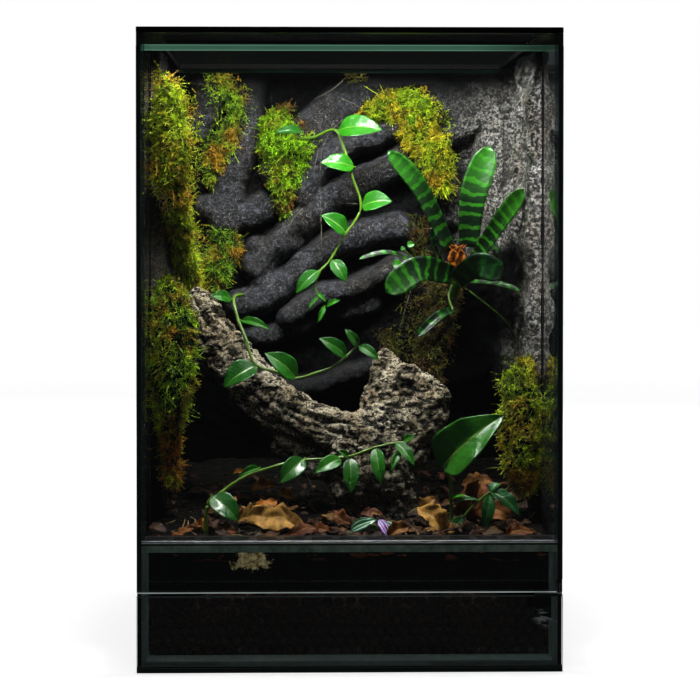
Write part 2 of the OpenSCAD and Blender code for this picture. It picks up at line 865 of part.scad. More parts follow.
module moss_lower_left() {
    color([0.42, 0.45, 0.14])
        difference() {
            on_edge(-1)
                chain([
                    [16, 84, 356, 12], [20, 78, 342, 19], [24, 72, 324, 23], [22, 68, 304, 25],
                    [25, 64, 282, 24], [22, 64, 262, 23], [21, 66, 244, 19], [20, 70, 228, 14],
                    [20, 76, 212, 11], [21, 80, 196, 10], [22, 82, 180, 11], [22, 84, 166, 9],
                ], squash = [1, 0.9, 1], sides = 7);
            walls(soft_gap);
            ground();
            litter_mat(soft_gap);
            cork_mass(soft_gap);
            translate([-in_x - 50, front_y, 0]) cube([50 + soft_gap, tank_d, tank_h]);
        }
}

module moss_right() {
    color([0.36, 0.42, 0.13])
        difference() {
            on_edge(1)
                chain([
                    [-14, 94, 278, 10], [-18, 90, 268, 16], [-22, 86, 252, 20], [-19, 82, 236, 22],
                    [-24, 80, 220, 22], [-20, 78, 204, 22], [-22, 78, 188, 20], [-18, 78, 172, 16],
                    [-18, 80, 160, 11],
                ], squash = [1, 0.9, 1], sides = 7);
            walls(soft_gap);
            ground();
            litter_mat(soft_gap);
            translate([in_x - soft_gap, front_y, 0]) cube([50, tank_d, tank_h]);
        }
}

bromeliad_mound = [
    [92, -170, 262, 10], [90, -158, 276, 14], [94, -146, 292, 17], [98, -134, 308, 18], [104, -122, 324, 18],
    [108, -108, 338, 17], [112, -92, 350, 16], [114, -74, 356, 15], [116, -54, 360, 15], [116, -24, 362, 18],
];

module mound_mass(grow = 0) {
    on_back() chain(bromeliad_mound, squash = [1, 1, 0.9], grow = grow, sides = 7);
}

module moss_bromeliad() {
    color([0.34, 0.28, 0.14])
        difference() {
            mound_mass();
            walls(soft_gap);
            cork_mass(soft_gap);
        }
}

// Climbing vines: a stem through its points and leaves set along it
module vine(stem, leaves, face = [0, -1, 0.35]) {
    chain(stem, sides = 6);
    for (l = leaves)
        leaf([l[0], l[1], l[2]], [l[3], l[4], l[5]], l[6], face = face);
}

upper_stem = [
    [-22, 0, 525, 2], [-24, -40, 526, 1.6], [-14, -66, 524, 1.5], [-2, -78, 518, 1.5], [6, -82, 500, 1.5],
    [10, -84, 480, 1.5], [14, -86, 460, 1.4], [14, -88, 440, 1.4], [6, -90, 424, 1.4],
    [-2, -92, 408, 1.4], [-10, -96, 392, 1.3], [-18, -100, 376, 1.3], [-26, -104, 352, 1.2],
];
upper_leaves = [
    [-2, -78, 518, 42, -92, 528, 26], [8, -82, 492, -28, -88, 482, 20], [14, -87, 452, 46, -96, 448, 22],
    [8, -90, 428, -24, -98, 414, 22], [-8, -95, 396, 16, -106, 372, 20], [-18, -100, 376, -50, -112, 352, 26],
    [-26, -104, 352, -16, -114, 322, 16], [-20, -52, 526, -62, -62, 518, 16],
];

module upper_vine() {
    color([0.2, 0.5, 0.1])
        difference() {
            on_back() vine(upper_stem, upper_leaves);
            walls(soft_gap);
        }
}

middle_stem = [
    [-128, 150, 234, 2], [-124, 128, 236, 1.6], [-116, 110, 234, 1.5], [-112, 104, 216, 1.5],
    [-102, 98, 190, 1.5], [-96, 92, 168, 1.5], [-84, 86, 156, 1.5], [-66, 82, 150, 1.5],
    [-44, 78, 148, 1.5], [-22, 76, 150, 1.5], [-6, 78, 158, 1.5], [10, 82, 172, 1.5], [28, 96, 186, 1.5],
    [44, 118, 178, 1.5], [48, 126, 166, 1.6],
];
middle_leaves = [
    [-114, 108, 230, -144, 96, 240, 20], [-110, 103, 212, -78, 92, 196, 22],
    [-94, 91, 166, -130, 80, 152, 28], [-74, 84, 152, -46, 72, 176, 26],
    [-14, 77, 154, 8, 66, 186, 24], [2, 80, 166, 40, 72, 180, 28],
];

module middle_vine() {
    color([0.24, 0.55, 0.12])
        difference() {
            on_bed() vine(middle_stem, middle_leaves);
            cork_mass(soft_gap);
        }
}

lower_stem = [
    [-140, 36, 0, 1.8], [-138, 36, 20, 1.6], [-134, 40, 40, 1.5], [-120, 46, 60, 1.5], [-102, 50, 68, 1.5],
    [-80, 52, 72, 1.5], [-56, 53, 74, 1.5], [-32, 54, 76, 1.5], [-8, 55, 78, 1.5], [16, 56, 82, 1.5],
    [40, 58, 88, 1.5], [62, 60, 94, 1.4],
];
lower_leaves = [
    [-136, 38, 30, -108, 28, 30, 30], [-104, 50, 67, -92, 36, 92, 22], [-74, 52, 72, -44, 42, 60, 28],
    [-30, 54, 76, 0, 44, 64, 24], [-6, 55, 78, 2, 42, 48, 20], [22, 56, 83, 34, 44, 58, 26],
    [56, 59, 92, 66, 46, 70, 22],
];

module lower_vine() {
    color([0.26, 0.55, 0.14])
        difference() {
            on_bed() vine(lower_stem, lower_leaves);
            ground();
            litter_mat(soft_gap);
        }
}

// Bromeliad: strap leaves around a cup, on a short stolon in its moss
cup = [118, -132, 384];
strap_tips = [
    [44, -150, 486, 20], [150, -186, 486, 30], [178, -170, 452, 22], [182, -152, 356, 20],
    [46, -200, 348, 26], [28, -160, 396, 16], [80, -206, 304, 20], [150, -204, 318, 18],
    [96, -88, 462, 18], [172, -110, 404, 18], [62, -120, 440, 18],
];

module bromeliad() {
    color([0.14, 0.4, 0.12])
        difference() {
            on_back() {
                chain([
                    [114, -90, 350, 7], [115, -98, 356, 7], [116, -106, 362, 7], [116, -114, 368, 8],
                    [117, -120, 374, 9], [117, -126, 378, 10], [118, -130, 382, 10],
                    [118, -134, 386, 9], [118, -138, 392, 7], [118, -140, 396, 5],
                ], sides = 7);
                for (t = strap_tips)
                    leaf(cup, [t[0], t[1], t[2]], t[3], face = [0, -0.7, 0.7], arch = 0.1,
                        fold = 0.35, th = 1.2, blade = strap_blade);
            }
            mound_mass(soft_gap);
            walls(soft_gap);
        }
}

// Plants in the soil at the front
big_stem = [
    [100, 50, 0, 1.8], [100, 49, 18, 1.6], [101, 48, 34, 1.5], [103, 47, 48, 1.5], [105, 46, 58, 1.4],
    [108, 45, 68, 1.4], [112, 44, 76, 1.3], [116, 44, 84, 1.3], [119, 44, 92, 1.2],
];

module big_leaf_plant() {
    color([0.12, 0.32, 0.1])
        difference() {
            on_bed() {
                chain(big_stem, sides = 6);
                leaf([119, 45, 122], [112, 36, 58], 66, face = [0, -1, 0.25], arch = -0.1, fold = 0.35, th = 1.2);
                leaf([101, 48, 34], [134, 38, 46], 20, face = [0, -0.6, 1]);
            }
            ground();
            litter_mat(soft_gap);
        }
}

module low_plant(root, leaves, tone) {
    color(tone)
        difference() {
            on_bed() {
                chain(root, sides = 6);
                for (l = leaves)
                    leaf([l[0], l[1], l[2]], [l[3], l[4], l[5]], l[6], face = [0, -0.5, 1]);
            }
            ground();
            litter_mat(soft_gap);
        }
}

module creeping_plant() {
    low_plant([
        [152, 48, 0, 2], [152, 48, 12, 1.6], [150, 48, 20, 1.5], [146, 47, 26, 1.4], [142, 46, 32, 1.4],
        [138, 46, 38, 1.3], [134, 46, 42, 1.3], [130, 46, 46, 1.2], [127, 46, 49, 1.2],
    ], [
        [152, 48, 14, 176, 40, 26, 22], [150, 48, 20, 160, 34, 40, 22], [146, 47, 26, 126, 34, 28, 20],
        [138, 46, 38, 152, 36, 56, 18], [128, 46, 48, 116, 38, 60, 18],
    ], [0.15, 0.42, 0.14]);
}

module striped_plant() {
    low_plant([
        [34, 28, 0, 1.8], [34, 28, 8, 1.5], [33, 28, 12, 1.4], [32, 28, 16, 1.4], [31, 28, 19, 1.3],
        [30, 28, 22, 1.3], [29, 28, 24, 1.2], [28, 28, 26, 1.2], [27, 28, 28, 1.2],
    ], [
        [34, 28, 12, 60, 18, 24, 16], [32, 28, 17, 6, 18, 28, 17], [29, 28, 25, 42, 16, 42, 16],
        [27, 28, 28, 14, 20, 46, 14],
    ], [0.4, 0.25, 0.5]);
}

base_glass();
back_glass();
left_side_glass();
right_side_glass();
lower_front_glass();
retaining_glass();
roof_glass();
top_frame();
roof_vent_mesh();
front_vent_strip();
front_bond_silicone();
channel_silicone();
left_seal_strip();
right_seal_strip();
catch_plate();
upper_pivot_pin();
lower_pivot_bracket();
lower_pivot_pin();
pivot_washer();
drainage_layer();
separator_sheet();
soil();
leaf_litter();
background();
left_cladding();
right_cladding();
cork_bark();
moss_upper_left();
moss_lower_left();
moss_dark();
moss_centre();
moss_grass();
moss_arch();
moss_right();
moss_bromeliad();
upper_vine();
middle_vine();
lower_vine();
bromeliad();
big_leaf_plant();
creeping_plant();
striped_plant();
door_glass();
door_upper_block();
door_lower_block();
door_catch_block();
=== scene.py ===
"""Looks of the planted glass vivarium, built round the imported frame. Sizes are in mm."""
import math

import bpy
import numpy as np
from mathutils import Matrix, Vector


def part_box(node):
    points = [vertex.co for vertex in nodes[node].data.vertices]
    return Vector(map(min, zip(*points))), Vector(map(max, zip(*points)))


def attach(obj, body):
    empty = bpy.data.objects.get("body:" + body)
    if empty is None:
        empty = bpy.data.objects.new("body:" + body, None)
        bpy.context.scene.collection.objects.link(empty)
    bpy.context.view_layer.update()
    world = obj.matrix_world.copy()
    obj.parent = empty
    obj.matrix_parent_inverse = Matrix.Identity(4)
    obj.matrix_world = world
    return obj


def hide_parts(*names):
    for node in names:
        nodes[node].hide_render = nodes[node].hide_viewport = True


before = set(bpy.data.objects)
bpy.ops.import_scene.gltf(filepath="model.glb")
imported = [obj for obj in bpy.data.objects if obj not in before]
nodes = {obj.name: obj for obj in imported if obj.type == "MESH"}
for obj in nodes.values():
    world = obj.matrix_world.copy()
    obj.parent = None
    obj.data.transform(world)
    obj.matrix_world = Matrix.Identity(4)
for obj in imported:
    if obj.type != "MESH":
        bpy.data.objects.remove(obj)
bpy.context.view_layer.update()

MM = 0.001
FRONT_Y = -200.0
BED_Y = -165.0
BACK_FACE_Y = 172.0
BACK_GLASS_Y = 196.0
CLAD_Y = -85.0
WALL_X = 196.0
ROOF_Z = 594.0
ROOF_THICK = 6.0
SOIL_Z = 110.0
SOIL_MID_Z = 120.0
SOIL_BACK_Z = 150.0
DRAIN_Z = 70.0
DOOR_FOOT_Z = 75.0
STRIP_Z = 123.5
BASE_Z = 5.0

# Camera: its place, and what turns a pixel of the photograph into mm at the front
EYE = np.array([-52.6, -1900.0, 415.0])
PX_PER_MM = 1.069
PX_MIDDLE = 350.2
PX_BASE = 672.9
LENS = 93.58
SHIFT_X, SHIFT_Y = 0.0348, -0.1253
PITCH, YAW = math.radians(89), math.radians(-1)
# A ray that crosses one pane has met two faces of glass
ONE_PANE = 2.5


def at(px, py, y):
    """The point at depth y that the photograph shows at px, py."""
    k = (y - EYE[1]) / (FRONT_Y - EYE[1])
    x = EYE[0] + ((px - PX_MIDDLE) / PX_PER_MM - EYE[0]) * k
    z = EYE[2] + ((PX_BASE - py) / PX_PER_MM - EYE[2]) * k
    return np.array([x, y, z])


def lift(points):
    """The points that the photograph shows at each px, py, with their depth as third number."""
    return [at(*point) for point in points]


def seen(points):
    """Where the photograph shows the points: the other way round from at()."""
    k = (points[:, 1] - EYE[1]) / (FRONT_Y - EYE[1])
    px = PX_MIDDLE + PX_PER_MM * (EYE[0] + (points[:, 0] - EYE[0]) / k)
    py = PX_BASE - PX_PER_MM * (EYE[2] + (points[:, 2] - EYE[2]) / k)
    return np.stack([px, py], 1)


def within(points, circles):
    """How far inside any of the circles each point is seen, from 0 to 1."""
    place, most = seen(points), np.zeros(len(points))
    for px, py, size in circles:
        away = np.linalg.norm(place - (px, py), axis=1)
        most = np.maximum(most, np.clip(2.4 * (1 - away / size), 0, 1))
    return most


def in_scene(name, data):
    """A new object, linked into the scene."""
    obj = bpy.data.objects.new(name, data)
    bpy.context.scene.collection.objects.link(obj)
    return obj


def add_camera():
    """The camera of the photograph."""
    data = bpy.data.cameras.new("camera")
    data.lens = LENS
    data.shift_x, data.shift_y = SHIFT_X, SHIFT_Y
    cam = in_scene("camera", data)
    cam.location = Vector(EYE) * MM
    cam.rotation_euler = (PITCH, 0, YAW)
    bpy.context.scene.camera = cam


def area_light(name, place, target, size, watts, colour=(1, 1, 1), spread=180, mirrored=True):
    """A soft rectangular lamp aimed at target. Places and sizes are in metres."""
    data = bpy.data.lights.new(name, "AREA")
    data.shape = "RECTANGLE"
    data.size, data.size_y = size
    data.energy = watts
    data.color = colour
    data.spread = math.radians(spread)
    lamp = in_scene(name, data)
    lamp.location = place
    lamp.rotation_euler = (Vector(target) - Vector(place)).to_track_quat("-Z", "Y").to_euler()
    lamp.visible_camera = False
    lamp.visible_glossy = mirrored


# Materials
def srgb(r, g, b):
    """A colour given in steps of 255, as linear light."""
    return tuple(((c / 255 + 0.055) / 1.055) ** 2.4 if c > 10 else c / 3294.6 for c in (r, g, b))


def scaled(colour, by, more=0.0):
    """The colour times by, and more added."""
    return tuple(by * c + more for c in colour)


class Look:
    """The shader tree of a material or world, written as short calls. Scales are in mm."""

    def __init__(self, name, kind="materials"):
        self.owner = getattr(bpy.data, kind).new(name)
        self.owner.use_nodes = True
        self.tree = self.owner.node_tree
        self.tree.nodes.clear()

    def put(self, socket, value):
        """Links another node to the socket, or sets its own value."""
        if isinstance(value, bpy.types.NodeSocket):
            self.tree.links.new(value, socket)
        elif isinstance(value, tuple) and socket.type == "RGBA":
            socket.default_value = (*value, 1)
        elif value is not None:
            socket.default_value = value

    def node(self, kind, *values, **settings):
        """A new node, with what its first sockets get."""
        n = self.tree.nodes.new("ShaderNode" + kind)
        for key, value in settings.items():
            setattr(n, key, value)
        for socket, value in zip(n.inputs, values):
            self.put(socket, value)
        return n

    def out(self, kind, *values, **settings):
        """The first output of a new node."""
        return self.node(kind, *values, **settings).outputs[0]

    def named(self, kind, **values):
        """The first output of a new node, with what its sockets of those names get."""
        n = self.node(kind)
        for key, value in values.items():
            self.put(n.inputs[key.replace("_", " ")], value)
        return n.outputs[0]

    @property
    def place(self):
        """The place of a point in its object, in metres."""
        return self.node("TexCoord").outputs["Object"]

    def xyz(self, vector=None):
        """The three parts of a vector, or else of the place."""
        return self.node("SeparateXYZ", vector or self.place).outputs

    def stretch(self, x, y, z, turn=None):
        return self.out("Mapping", self.place, None, turn, (x, y, z))

    def distance(self, a, b):
        return self.node("VectorMath", a, b, operation="DISTANCE").outputs["Value"]

    def attribute(self, name):
        return self.node("Attribute", attribute_name=name).outputs["Fac"]

    def math(self, op, a, b=None, clamp=False):
        return self.out("Math", a, b, operation=op, use_clamp=clamp)

    def times(self, a, b):
        return self.math("MULTIPLY", a, b)

    def minus(self, a, b):
        return self.math("SUBTRACT", a, b)

    def noise(self, size, detail=3, rough=0.6, place=None, warp=0):
        return self.named("TexNoise", Vector=place or self.place, Scale=1000 / size,
                          Detail=detail, Roughness=rough, Distortion=warp)

    def cells(self, size):
        return self.named("TexVoronoi", Vector=self.place, Scale=1000 / size)

    def ramp(self, value, *stops):
        """Colours or grey levels at stops from 0 to 1."""
        n = self.node("ValToRGB", value)
        ramp = n.color_ramp
        while len(ramp.elements) < len(stops):
            ramp.elements.new(0.5)
        for element, (place, colour) in zip(ramp.elements, stops):
            element.position = place
            element.color = (*(colour if isinstance(colour, tuple) else (colour,) * 3), 1)
        return n.outputs[0]

    def fade(self, value, start, end, low=0.0, high=1.0):
        """low up to start, and high from end on."""
        return self.ramp(value, (start, low), (end, high))

    def mix(self, factor, a, b, blend="MIX"):
        unused = [None] * 5
        n = self.node("Mix", factor, *unused, a, b, data_type="RGBA", blend_type=blend)
        return n.outputs[2]

    def shaded(self, colour, by):
        return self.mix(1.0, colour, by, "MULTIPLY")

    def blend(self, factor, a, b):
        return self.out("MixShader", factor, a, b)

    def bump(self, height, depth, strength=1.0, after=None):
        return self.named(
            "Bump", Strength=strength, Distance=depth * MM, Height=height, Normal=after)

    def surface(self, colour, rough, normal=None, specular=0.5, **more):
        """A Principled surface. More names its other sockets."""
        return self.named("BsdfPrincipled", Base_Color=colour, Roughness=rough, Normal=normal,
                          Specular_IOR_Level=specular, **more)

    def done(self, shader):
        self.node("OutputMaterial", shader)
        return self.owner


def lit_room():
    """A white studio: black where the camera looks out through two panes, dim to other light."""
    sky = Look("studio", "worlds")
    bpy.context.scene.world = sky.owner
    rays = sky.node("LightPath").outputs
    through = sky.math("GREATER_THAN", rays["Transparent Depth"], ONE_PANE)
    white = sky.out("Background", (1, 1, 1), 1)
    black = sky.out("Background", (0.9, 1, 0.97), 0.004)
    faint = sky.out("Background", (0.9, 0.95, 1), 0.035)
    looked_at = sky.blend(through, white, black)
    sky.node("OutputWorld", sky.blend(rays["Is Camera Ray"], faint, looked_at))
    area_light("room", (0, -0.4, 2.6), (0, 0, 0), (2.4, 2.4), 14)
    for name, place in (
        ("left", (-1.9, 0.5, 1.0)), ("right", (1.9, 0.5, 1.0)), ("rear", (0.3, 2.1, 1.1)),
    ):
        area_light(name, place, (0, 0.05, 0.3), (1.3, 1.3), 7, mirrored=False)
    warm = (1, 0.985, 0.955)
    area_light("tank_lamp", (0, -0.15, 0.76), (0, -0.12, 0), (0.38, 0.09), 9.0, warm, 150)


CLEAR = (0.975, 0.99, 0.982)
EDGE = srgb(16, 42, 40)
# The roof pane's edges are a lighter green than the other panes' edges: painted light from the lamp
# above.
ROOF_EDGE = srgb(62, 100, 82)
CHALK_SPOT = (182, 52)
CHALK_REACH = 12


def foot_line(look):
    """Painted light: a glow along the door's lower edge, for the lamplight that the edge catches.
    """
    low = look.math("LESS_THAN", look.xyz()[2], (DOOR_FOOT_Z + 1) * MM)
    tone = look.fade(look.noise(90, 4), 0.35, 0.65, (0.3, 0.36, 0.35), (0.8, 0.88, 0.9))
    return dict(Emission_Color=tone, Emission_Strength=look.times(low, 0.42))


def roof_edge(look):
    """Painted light: a glow on the roof pane's front edge for the lamplight that leaves through it,
    brightest at its two arrises and weaker towards its right end.
    """
    x, y, z = look.xyz()
    level = look.math("DIVIDE", look.minus(z, ROOF_Z * MM), ROOF_THICK * MM)
    arris = look.ramp(
        level, (0.0, 1.0), (0.12, 0.85), (0.2, 0.0), (0.8, 0.0), (0.88, 0.85), (1.0, 1.0))
    glow = look.mix(look.noise(70, 3), scaled(ROOF_EDGE, 0.5), ROOF_EDGE)
    front = look.math("LESS_THAN", y, (CLAD_Y + 1) * MM)
    return dict(Emission_Color=look.mix(arris, glow, scaled(ROOF_EDGE, 1.5, 0.02)),
                Emission_Strength=look.times(front, look.fade(x, 0.12, 0.186, 1.0, 0.3)))


def chalk_strokes(look):
    """Wiped limescale: short slanted strokes round one spot of the lower pane."""
    x, z = CHALK_SPOT
    away = look.distance(look.place, (x * MM, FRONT_Y * MM, z * MM))
    near = look.fade(look.math("DIVIDE", away, CHALK_REACH * MM), 0.3, 1.0, 1.0, 0.0)
    slanted = look.stretch(0.3, 1, 1, turn=(0, 0.45, 0))
    return look.times(near, look.fade(look.noise(4.5, 4, 0.7, slanted), 0.5, 0.6, 0.0, 0.9))


def glass(name, axis, tint, edge, shine=0.02, grazing=5.0, glow=None, chalky=False):
    """A thin pane: clear faces across its axis, and darker polished edges."""
    look = Look(name)
    normal = look.xyz(look.node("TexCoord").outputs["Normal"])
    face = look.math("GREATER_THAN", look.math("ABSOLUTE", normal[axis]), 0.9)
    facing = look.node("LayerWeight").outputs["Facing"]
    grazed = look.times(look.math("POWER", facing, grazing), 1 - shine)
    gloss = look.math("ADD", grazed, shine, True)
    mirror = look.out("BsdfGlossy", (1, 1, 1), 0.015, distribution="GGX")
    pane = look.blend(gloss, look.out("BsdfTransparent", tint), mirror)
    mist = look.fade(look.noise(26, 5, 0.7), 0.62, 0.82, 0.0, 0.02 if axis == 1 else 0.0)
    if chalky:
        mist = look.math("ADD", mist, chalk_strokes(look), True)
    pane = look.blend(mist, pane, look.out("BsdfDiffuse", (0.8, 0.85, 0.85)))
    cloud = look.fade(look.noise(60, 2), 0.35, 0.7, scaled(edge, 0.7), edge)
    light = glow(look) if glow else {}
    rim = look.surface(cloud, 0.35, specular=0.3, **light)
    return look.done(look.blend(face, rim, pane))


def silicone(name, colour, rough=0.35, clear=0.0):
    """A bond or seal, black or clouded, and as see-through as clear says."""
    look = Look(name)
    tone = look.mix(look.noise(9, 3), scaled(colour, 0.6), colour)
    body = look.surface(tone, rough, look.bump(look.noise(5, 3), 0.3))
    if clear:
        body = look.blend(clear, body, look.out("BsdfTransparent", (0.9, 0.95, 0.95)))
    return look.done(body)


def plastic(name, colour, rough, specular=0.5):
    """Moulded plastic, a little worn."""
    look = Look(name)
    wear = look.noise(22, 4)
    tone = look.mix(wear, colour, scaled(colour, 1.5, 0.004))
    matt = look.fade(wear, 0.3, 0.8, rough * 0.8, rough * 1.2)
    return look.done(look.surface(tone, matt, look.bump(look.noise(0.9, 2), 0.05), specular))


def strip_look(name):
    """Black anodised strip, with a paler hem on the lip, and a painted highlight in patches along
    the top of its bend, where lamplight falls.
    """
    look = Look(name)
    _, y, z = look.xyz()
    level = look.math("DIVIDE", look.minus(z, (STRIP_Z - 12) * MM), 12 * MM)
    dusty = look.fade(look.noise(16, 5, 0.75), 0.35, 0.65)
    hem = look.mix(dusty, srgb(112, 138, 120), srgb(190, 214, 192))
    tone = look.mix(look.fade(level, 0.60, 0.63), hem, srgb(9, 10, 12))
    line = look.ramp(level, (0.76, 0.0), (0.79, 1.0), (0.83, 1.0), (0.86, 0.0))
    tone = look.mix(line, tone, srgb(235, 245, 240))
    # Painted highlight: the top of the bend at the front, where lamplight falls, is lighter in
    # patches.
    front = look.math("LESS_THAN", y, (FRONT_Y + 7.2) * MM)
    bend = look.times(front, look.math("GREATER_THAN", z, (STRIP_Z - 0.7) * MM))
    patchy_highlight = look.fade(look.noise(40, 4), 0.4, 0.65, 0.45, 1.0)
    tone = look.mix(look.times(bend, patchy_highlight), tone, srgb(116, 120, 138))
    matt = look.fade(look.noise(12, 3), 0.3, 0.7, 0.32, 0.5)
    return look.done(look.surface(tone, matt, look.bump(look.noise(1.0, 2), 0.04)))


def metal(name, colour, rough):
    """Brushed metal."""
    look = Look(name)
    brushed = look.noise(1.2, 3, 0.6, look.stretch(0.05, 1, 1))
    tone = look.mix(brushed, colour, scaled(colour, 0.6))
    matt = look.fade(brushed, 0.3, 0.7, rough * 0.7, rough * 1.3)
    return look.done(look.surface(tone, matt, look.bump(brushed, 0.02), Metallic=1.0))


def rock(name, dark, light, warm, pale=None, draw_out=1.0, low=0.08):
    """Wet, coarse, near-black ground with pale grains. Painted shade makes it black below and at
    the very top, and darker where tip is low.
    """
    look = Look(name)
    spot = look.stretch(1, draw_out, 1)
    grain = look.noise(3.0, 3, 0.8, spot)
    pits = look.noise(5.5, 4, 0.85, spot)
    dry = look.attribute("dry")
    tone = look.mix(look.fade(look.noise(50, 3), 0.46, 0.62), light, warm)
    if pale:
        tone = look.mix(dry, tone, pale)
    tone = look.mix(look.fade(grain, 0.45, 0.57), scaled(dark, 0.5), tone)
    tone = look.mix(look.fade(pits, 0.45, 0.51, 0.97, 0.0), tone, dark)
    loose = look.fade(look.noise(22, 3, 0.7), 0.45, 0.60, 0.15, 1.0)
    speck = look.times(loose, look.fade(look.noise(2.6, 2, 0.8, spot), 0.58, 0.64, 0.0, 0.85))
    tone = look.mix(speck, tone, look.mix(dry, (0.20, 0.19, 0.19), (0.42, 0.40, 0.38)))
    # Painted shade: darker low down, black at the very top, and darker still where tip marks ground
    # that little lamplight reaches.
    shade = look.ramp(
        look.xyz()[2], (0.16, low), (0.27, 0.35 + low), (0.36, 1.0), (0.535, 1.0), (0.588, 0.04))
    shade = look.times(shade, look.attribute("tip"))
    pitted = look.bump(pits, 3.0, 1.0, look.bump(grain, 1.8))
    wet = look.fade(grain, 0.35, 0.7, 0.42, 0.8)
    body = look.surface(look.shaded(tone, shade), wet, pitted, 0.35)
    # Painted shade: a black surface takes over where the shade is deep.
    black = look.out("BsdfDiffuse", scaled(dark, 0.5))
    return look.done(look.blend(look.fade(shade, 0.0, 0.5), black, body))


def moss_look(name, young, old, dead):
    """Moss shoots: young at their tips, withered where dry says, and darker towards their roots as
    painted shade in the gaps.
    """
    look = Look(name)
    tone, dry = look.attribute("tone"), look.attribute("dry")
    patch = look.fade(look.noise(30, 3, 0.55), 0.46, 0.60)
    gone = look.math("ADD", look.times(patch, dry), look.math("SUBTRACT", dry, 1.0, True), True)
    live = look.mix(tone, old, young)
    colour = look.mix(gone, live, look.mix(tone, scaled(dead, 0.35), dead))
    # Painted shade: each shoot goes near black towards its root, where tip is low.
    colour = look.mix(look.attribute("tip"), scaled(old, 0.16), colour)
    colour = look.shaded(colour, look.fade(look.noise(9, 2, 0.6), 0.36, 0.54, 0.3, 1.15))
    body = look.surface(colour, 0.6, specular=0.25)
    return look.done(look.blend(0.35, body, look.out("BsdfTranslucent", colour)))


def mat_look(name, old):
    """The felt under the shoots, and bare rock where tip is 0, in painted shade near the top."""
    look = Look(name)
    tone = look.mix(look.fade(look.noise(4, 4), 0.4, 0.6), scaled(old, 0.1), old)
    grain = look.fade(look.noise(3.0, 3, 0.8), 0.45, 0.57)
    wall = look.mix(grain, srgb(5, 4, 4), srgb(140, 122, 112))
    # Painted shade: the bare rock goes near black towards the top.
    wall = look.shaded(wall, look.fade(look.xyz()[2], 0.535, 0.57, 1.0, 0.02))
    tone = look.mix(look.attribute("tip"), wall, tone)
    return look.done(look.surface(tone, 0.9, look.bump(look.noise(3, 4), 3.0), 0.05))


def leaf_look(name, young, deep, rough=0.38, bands=0.0, streak=0.0, drops=0.5, vein=0.3):
    """A glossy leaf, with its midrib and side veins, or bands across, or streaks along."""
    look = Look(name)
    along, width = look.attribute("along"), look.math("ABSOLUTE", look.attribute("across"))
    colour = look.mix(look.attribute("tone"), deep, young)
    blotch = look.fade(look.noise(9, 3), 0.35, 0.75, 0.0, 0.35)
    colour = look.mix(blotch, colour, scaled(deep, 0.5))
    if bands:
        shift = look.times(look.noise(16, 2), 0.14)
        spot = look.math("ADD", look.minus(along, look.times(width, 0.012)), shift)
        band = look.fade(look.math("SINE", look.times(spot, bands)), 0.30, 0.62)
        band = look.math("ADD", band, look.fade(along, 0.55, 1.0, 0.0, 0.55), True)
        colour = look.mix(band, srgb(10, 32, 13), colour)
    if streak:
        line = look.fade(look.math("COSINE", look.times(width, streak)), 0.55, 0.8, 0.0, 0.8)
        colour = look.mix(line, colour, srgb(190, 205, 195))
    rib = look.fade(width, 0.0, 0.07, 1.0, 0.0)
    colour = look.mix(look.times(rib, vein), colour, srgb(170, 205, 90))
    waves = look.math("SINE", look.times(look.minus(along, look.times(width, 0.18)), 62.0))
    dew = look.fade(look.cells(3.4), 0.12, 0.22, 1.0, 0.0)
    relief = look.bump(waves, 0.12, 0.35, look.bump(look.noise(7, 3), 1.5, 0.8))
    relief = look.bump(look.times(dew, drops), 0.8, 1.0, relief)
    return look.done(look.surface(
        colour, rough, relief, 0.25, Coat_Weight=0.34, Coat_Roughness=0.13, Subsurface_Weight=0.05,
        Subsurface_Radius=(0.001, 0.003, 0.001), Subsurface_Scale=1.0))


def bark_look(name):
    """Cork: pale weathered plates, cut by dark cracks that run in short level dashes. Painted shade
    darkens its deep cracks, its undersides and its lower part.
    """
    look = Look(name)
    dash = look.noise(5.2, 3, 0.7, look.stretch(0.42, 0.6, 1), 0.6)
    fine = look.noise(2.8, 3, 0.8)
    patch = look.fade(look.noise(30, 3), 0.42, 0.6)
    pale = look.mix(patch, srgb(206, 196, 172), srgb(166, 150, 122))
    tone = look.mix(look.fade(fine, 0.40, 0.58), srgb(76, 64, 49), pale)
    tone = look.mix(look.fade(dash, 0.43, 0.49, 1.0, 0.0), tone, srgb(20, 15, 12))
    # Painted shade: near black in the deep cracks that the tone attribute marks, and darker on the
    # undersides that tip marks.
    tone = look.mix(look.fade(look.attribute("tone"), 0.28, 0.5), srgb(10, 8, 6), tone)
    tone = look.shaded(tone, look.attribute("tip"))
    # Painted shade: darker towards the bottom of the branch.
    lower_shade = look.fade(look.xyz()[2], 0.13, 0.26, 0.3, 1.0)
    cracked = look.bump(fine, 1.2, 0.9, look.bump(dash, 2.2))
    return look.done(look.surface(look.shaded(tone, lower_shade), 0.85, cracked, 0.2))


def dry_look(name, *colours):
    """Dead leaves and bits, each in a colour of its own, paler along the rib."""
    look = Look(name)
    stops = [(i / (len(colours) - 1), colour) for i, colour in enumerate(colours)]
    tone = look.ramp(look.attribute("tone"), *stops)
    blotch = look.fade(look.noise(7, 4), 0.35, 0.7, 0.0, 0.8)
    tone = look.mix(blotch, tone, srgb(58, 36, 18), "MULTIPLY")
    rib = look.fade(look.math("ABSOLUTE", look.attribute("across")), 0.0, 0.05, 0.5, 0.0)
    tone = look.mix(rib, tone, srgb(206, 176, 116))
    tone = look.mix(look.attribute("dry"), tone, srgb(24, 14, 9))
    return look.done(look.surface(tone, 0.6, look.bump(look.noise(2.5, 4), 0.6), 0.15))


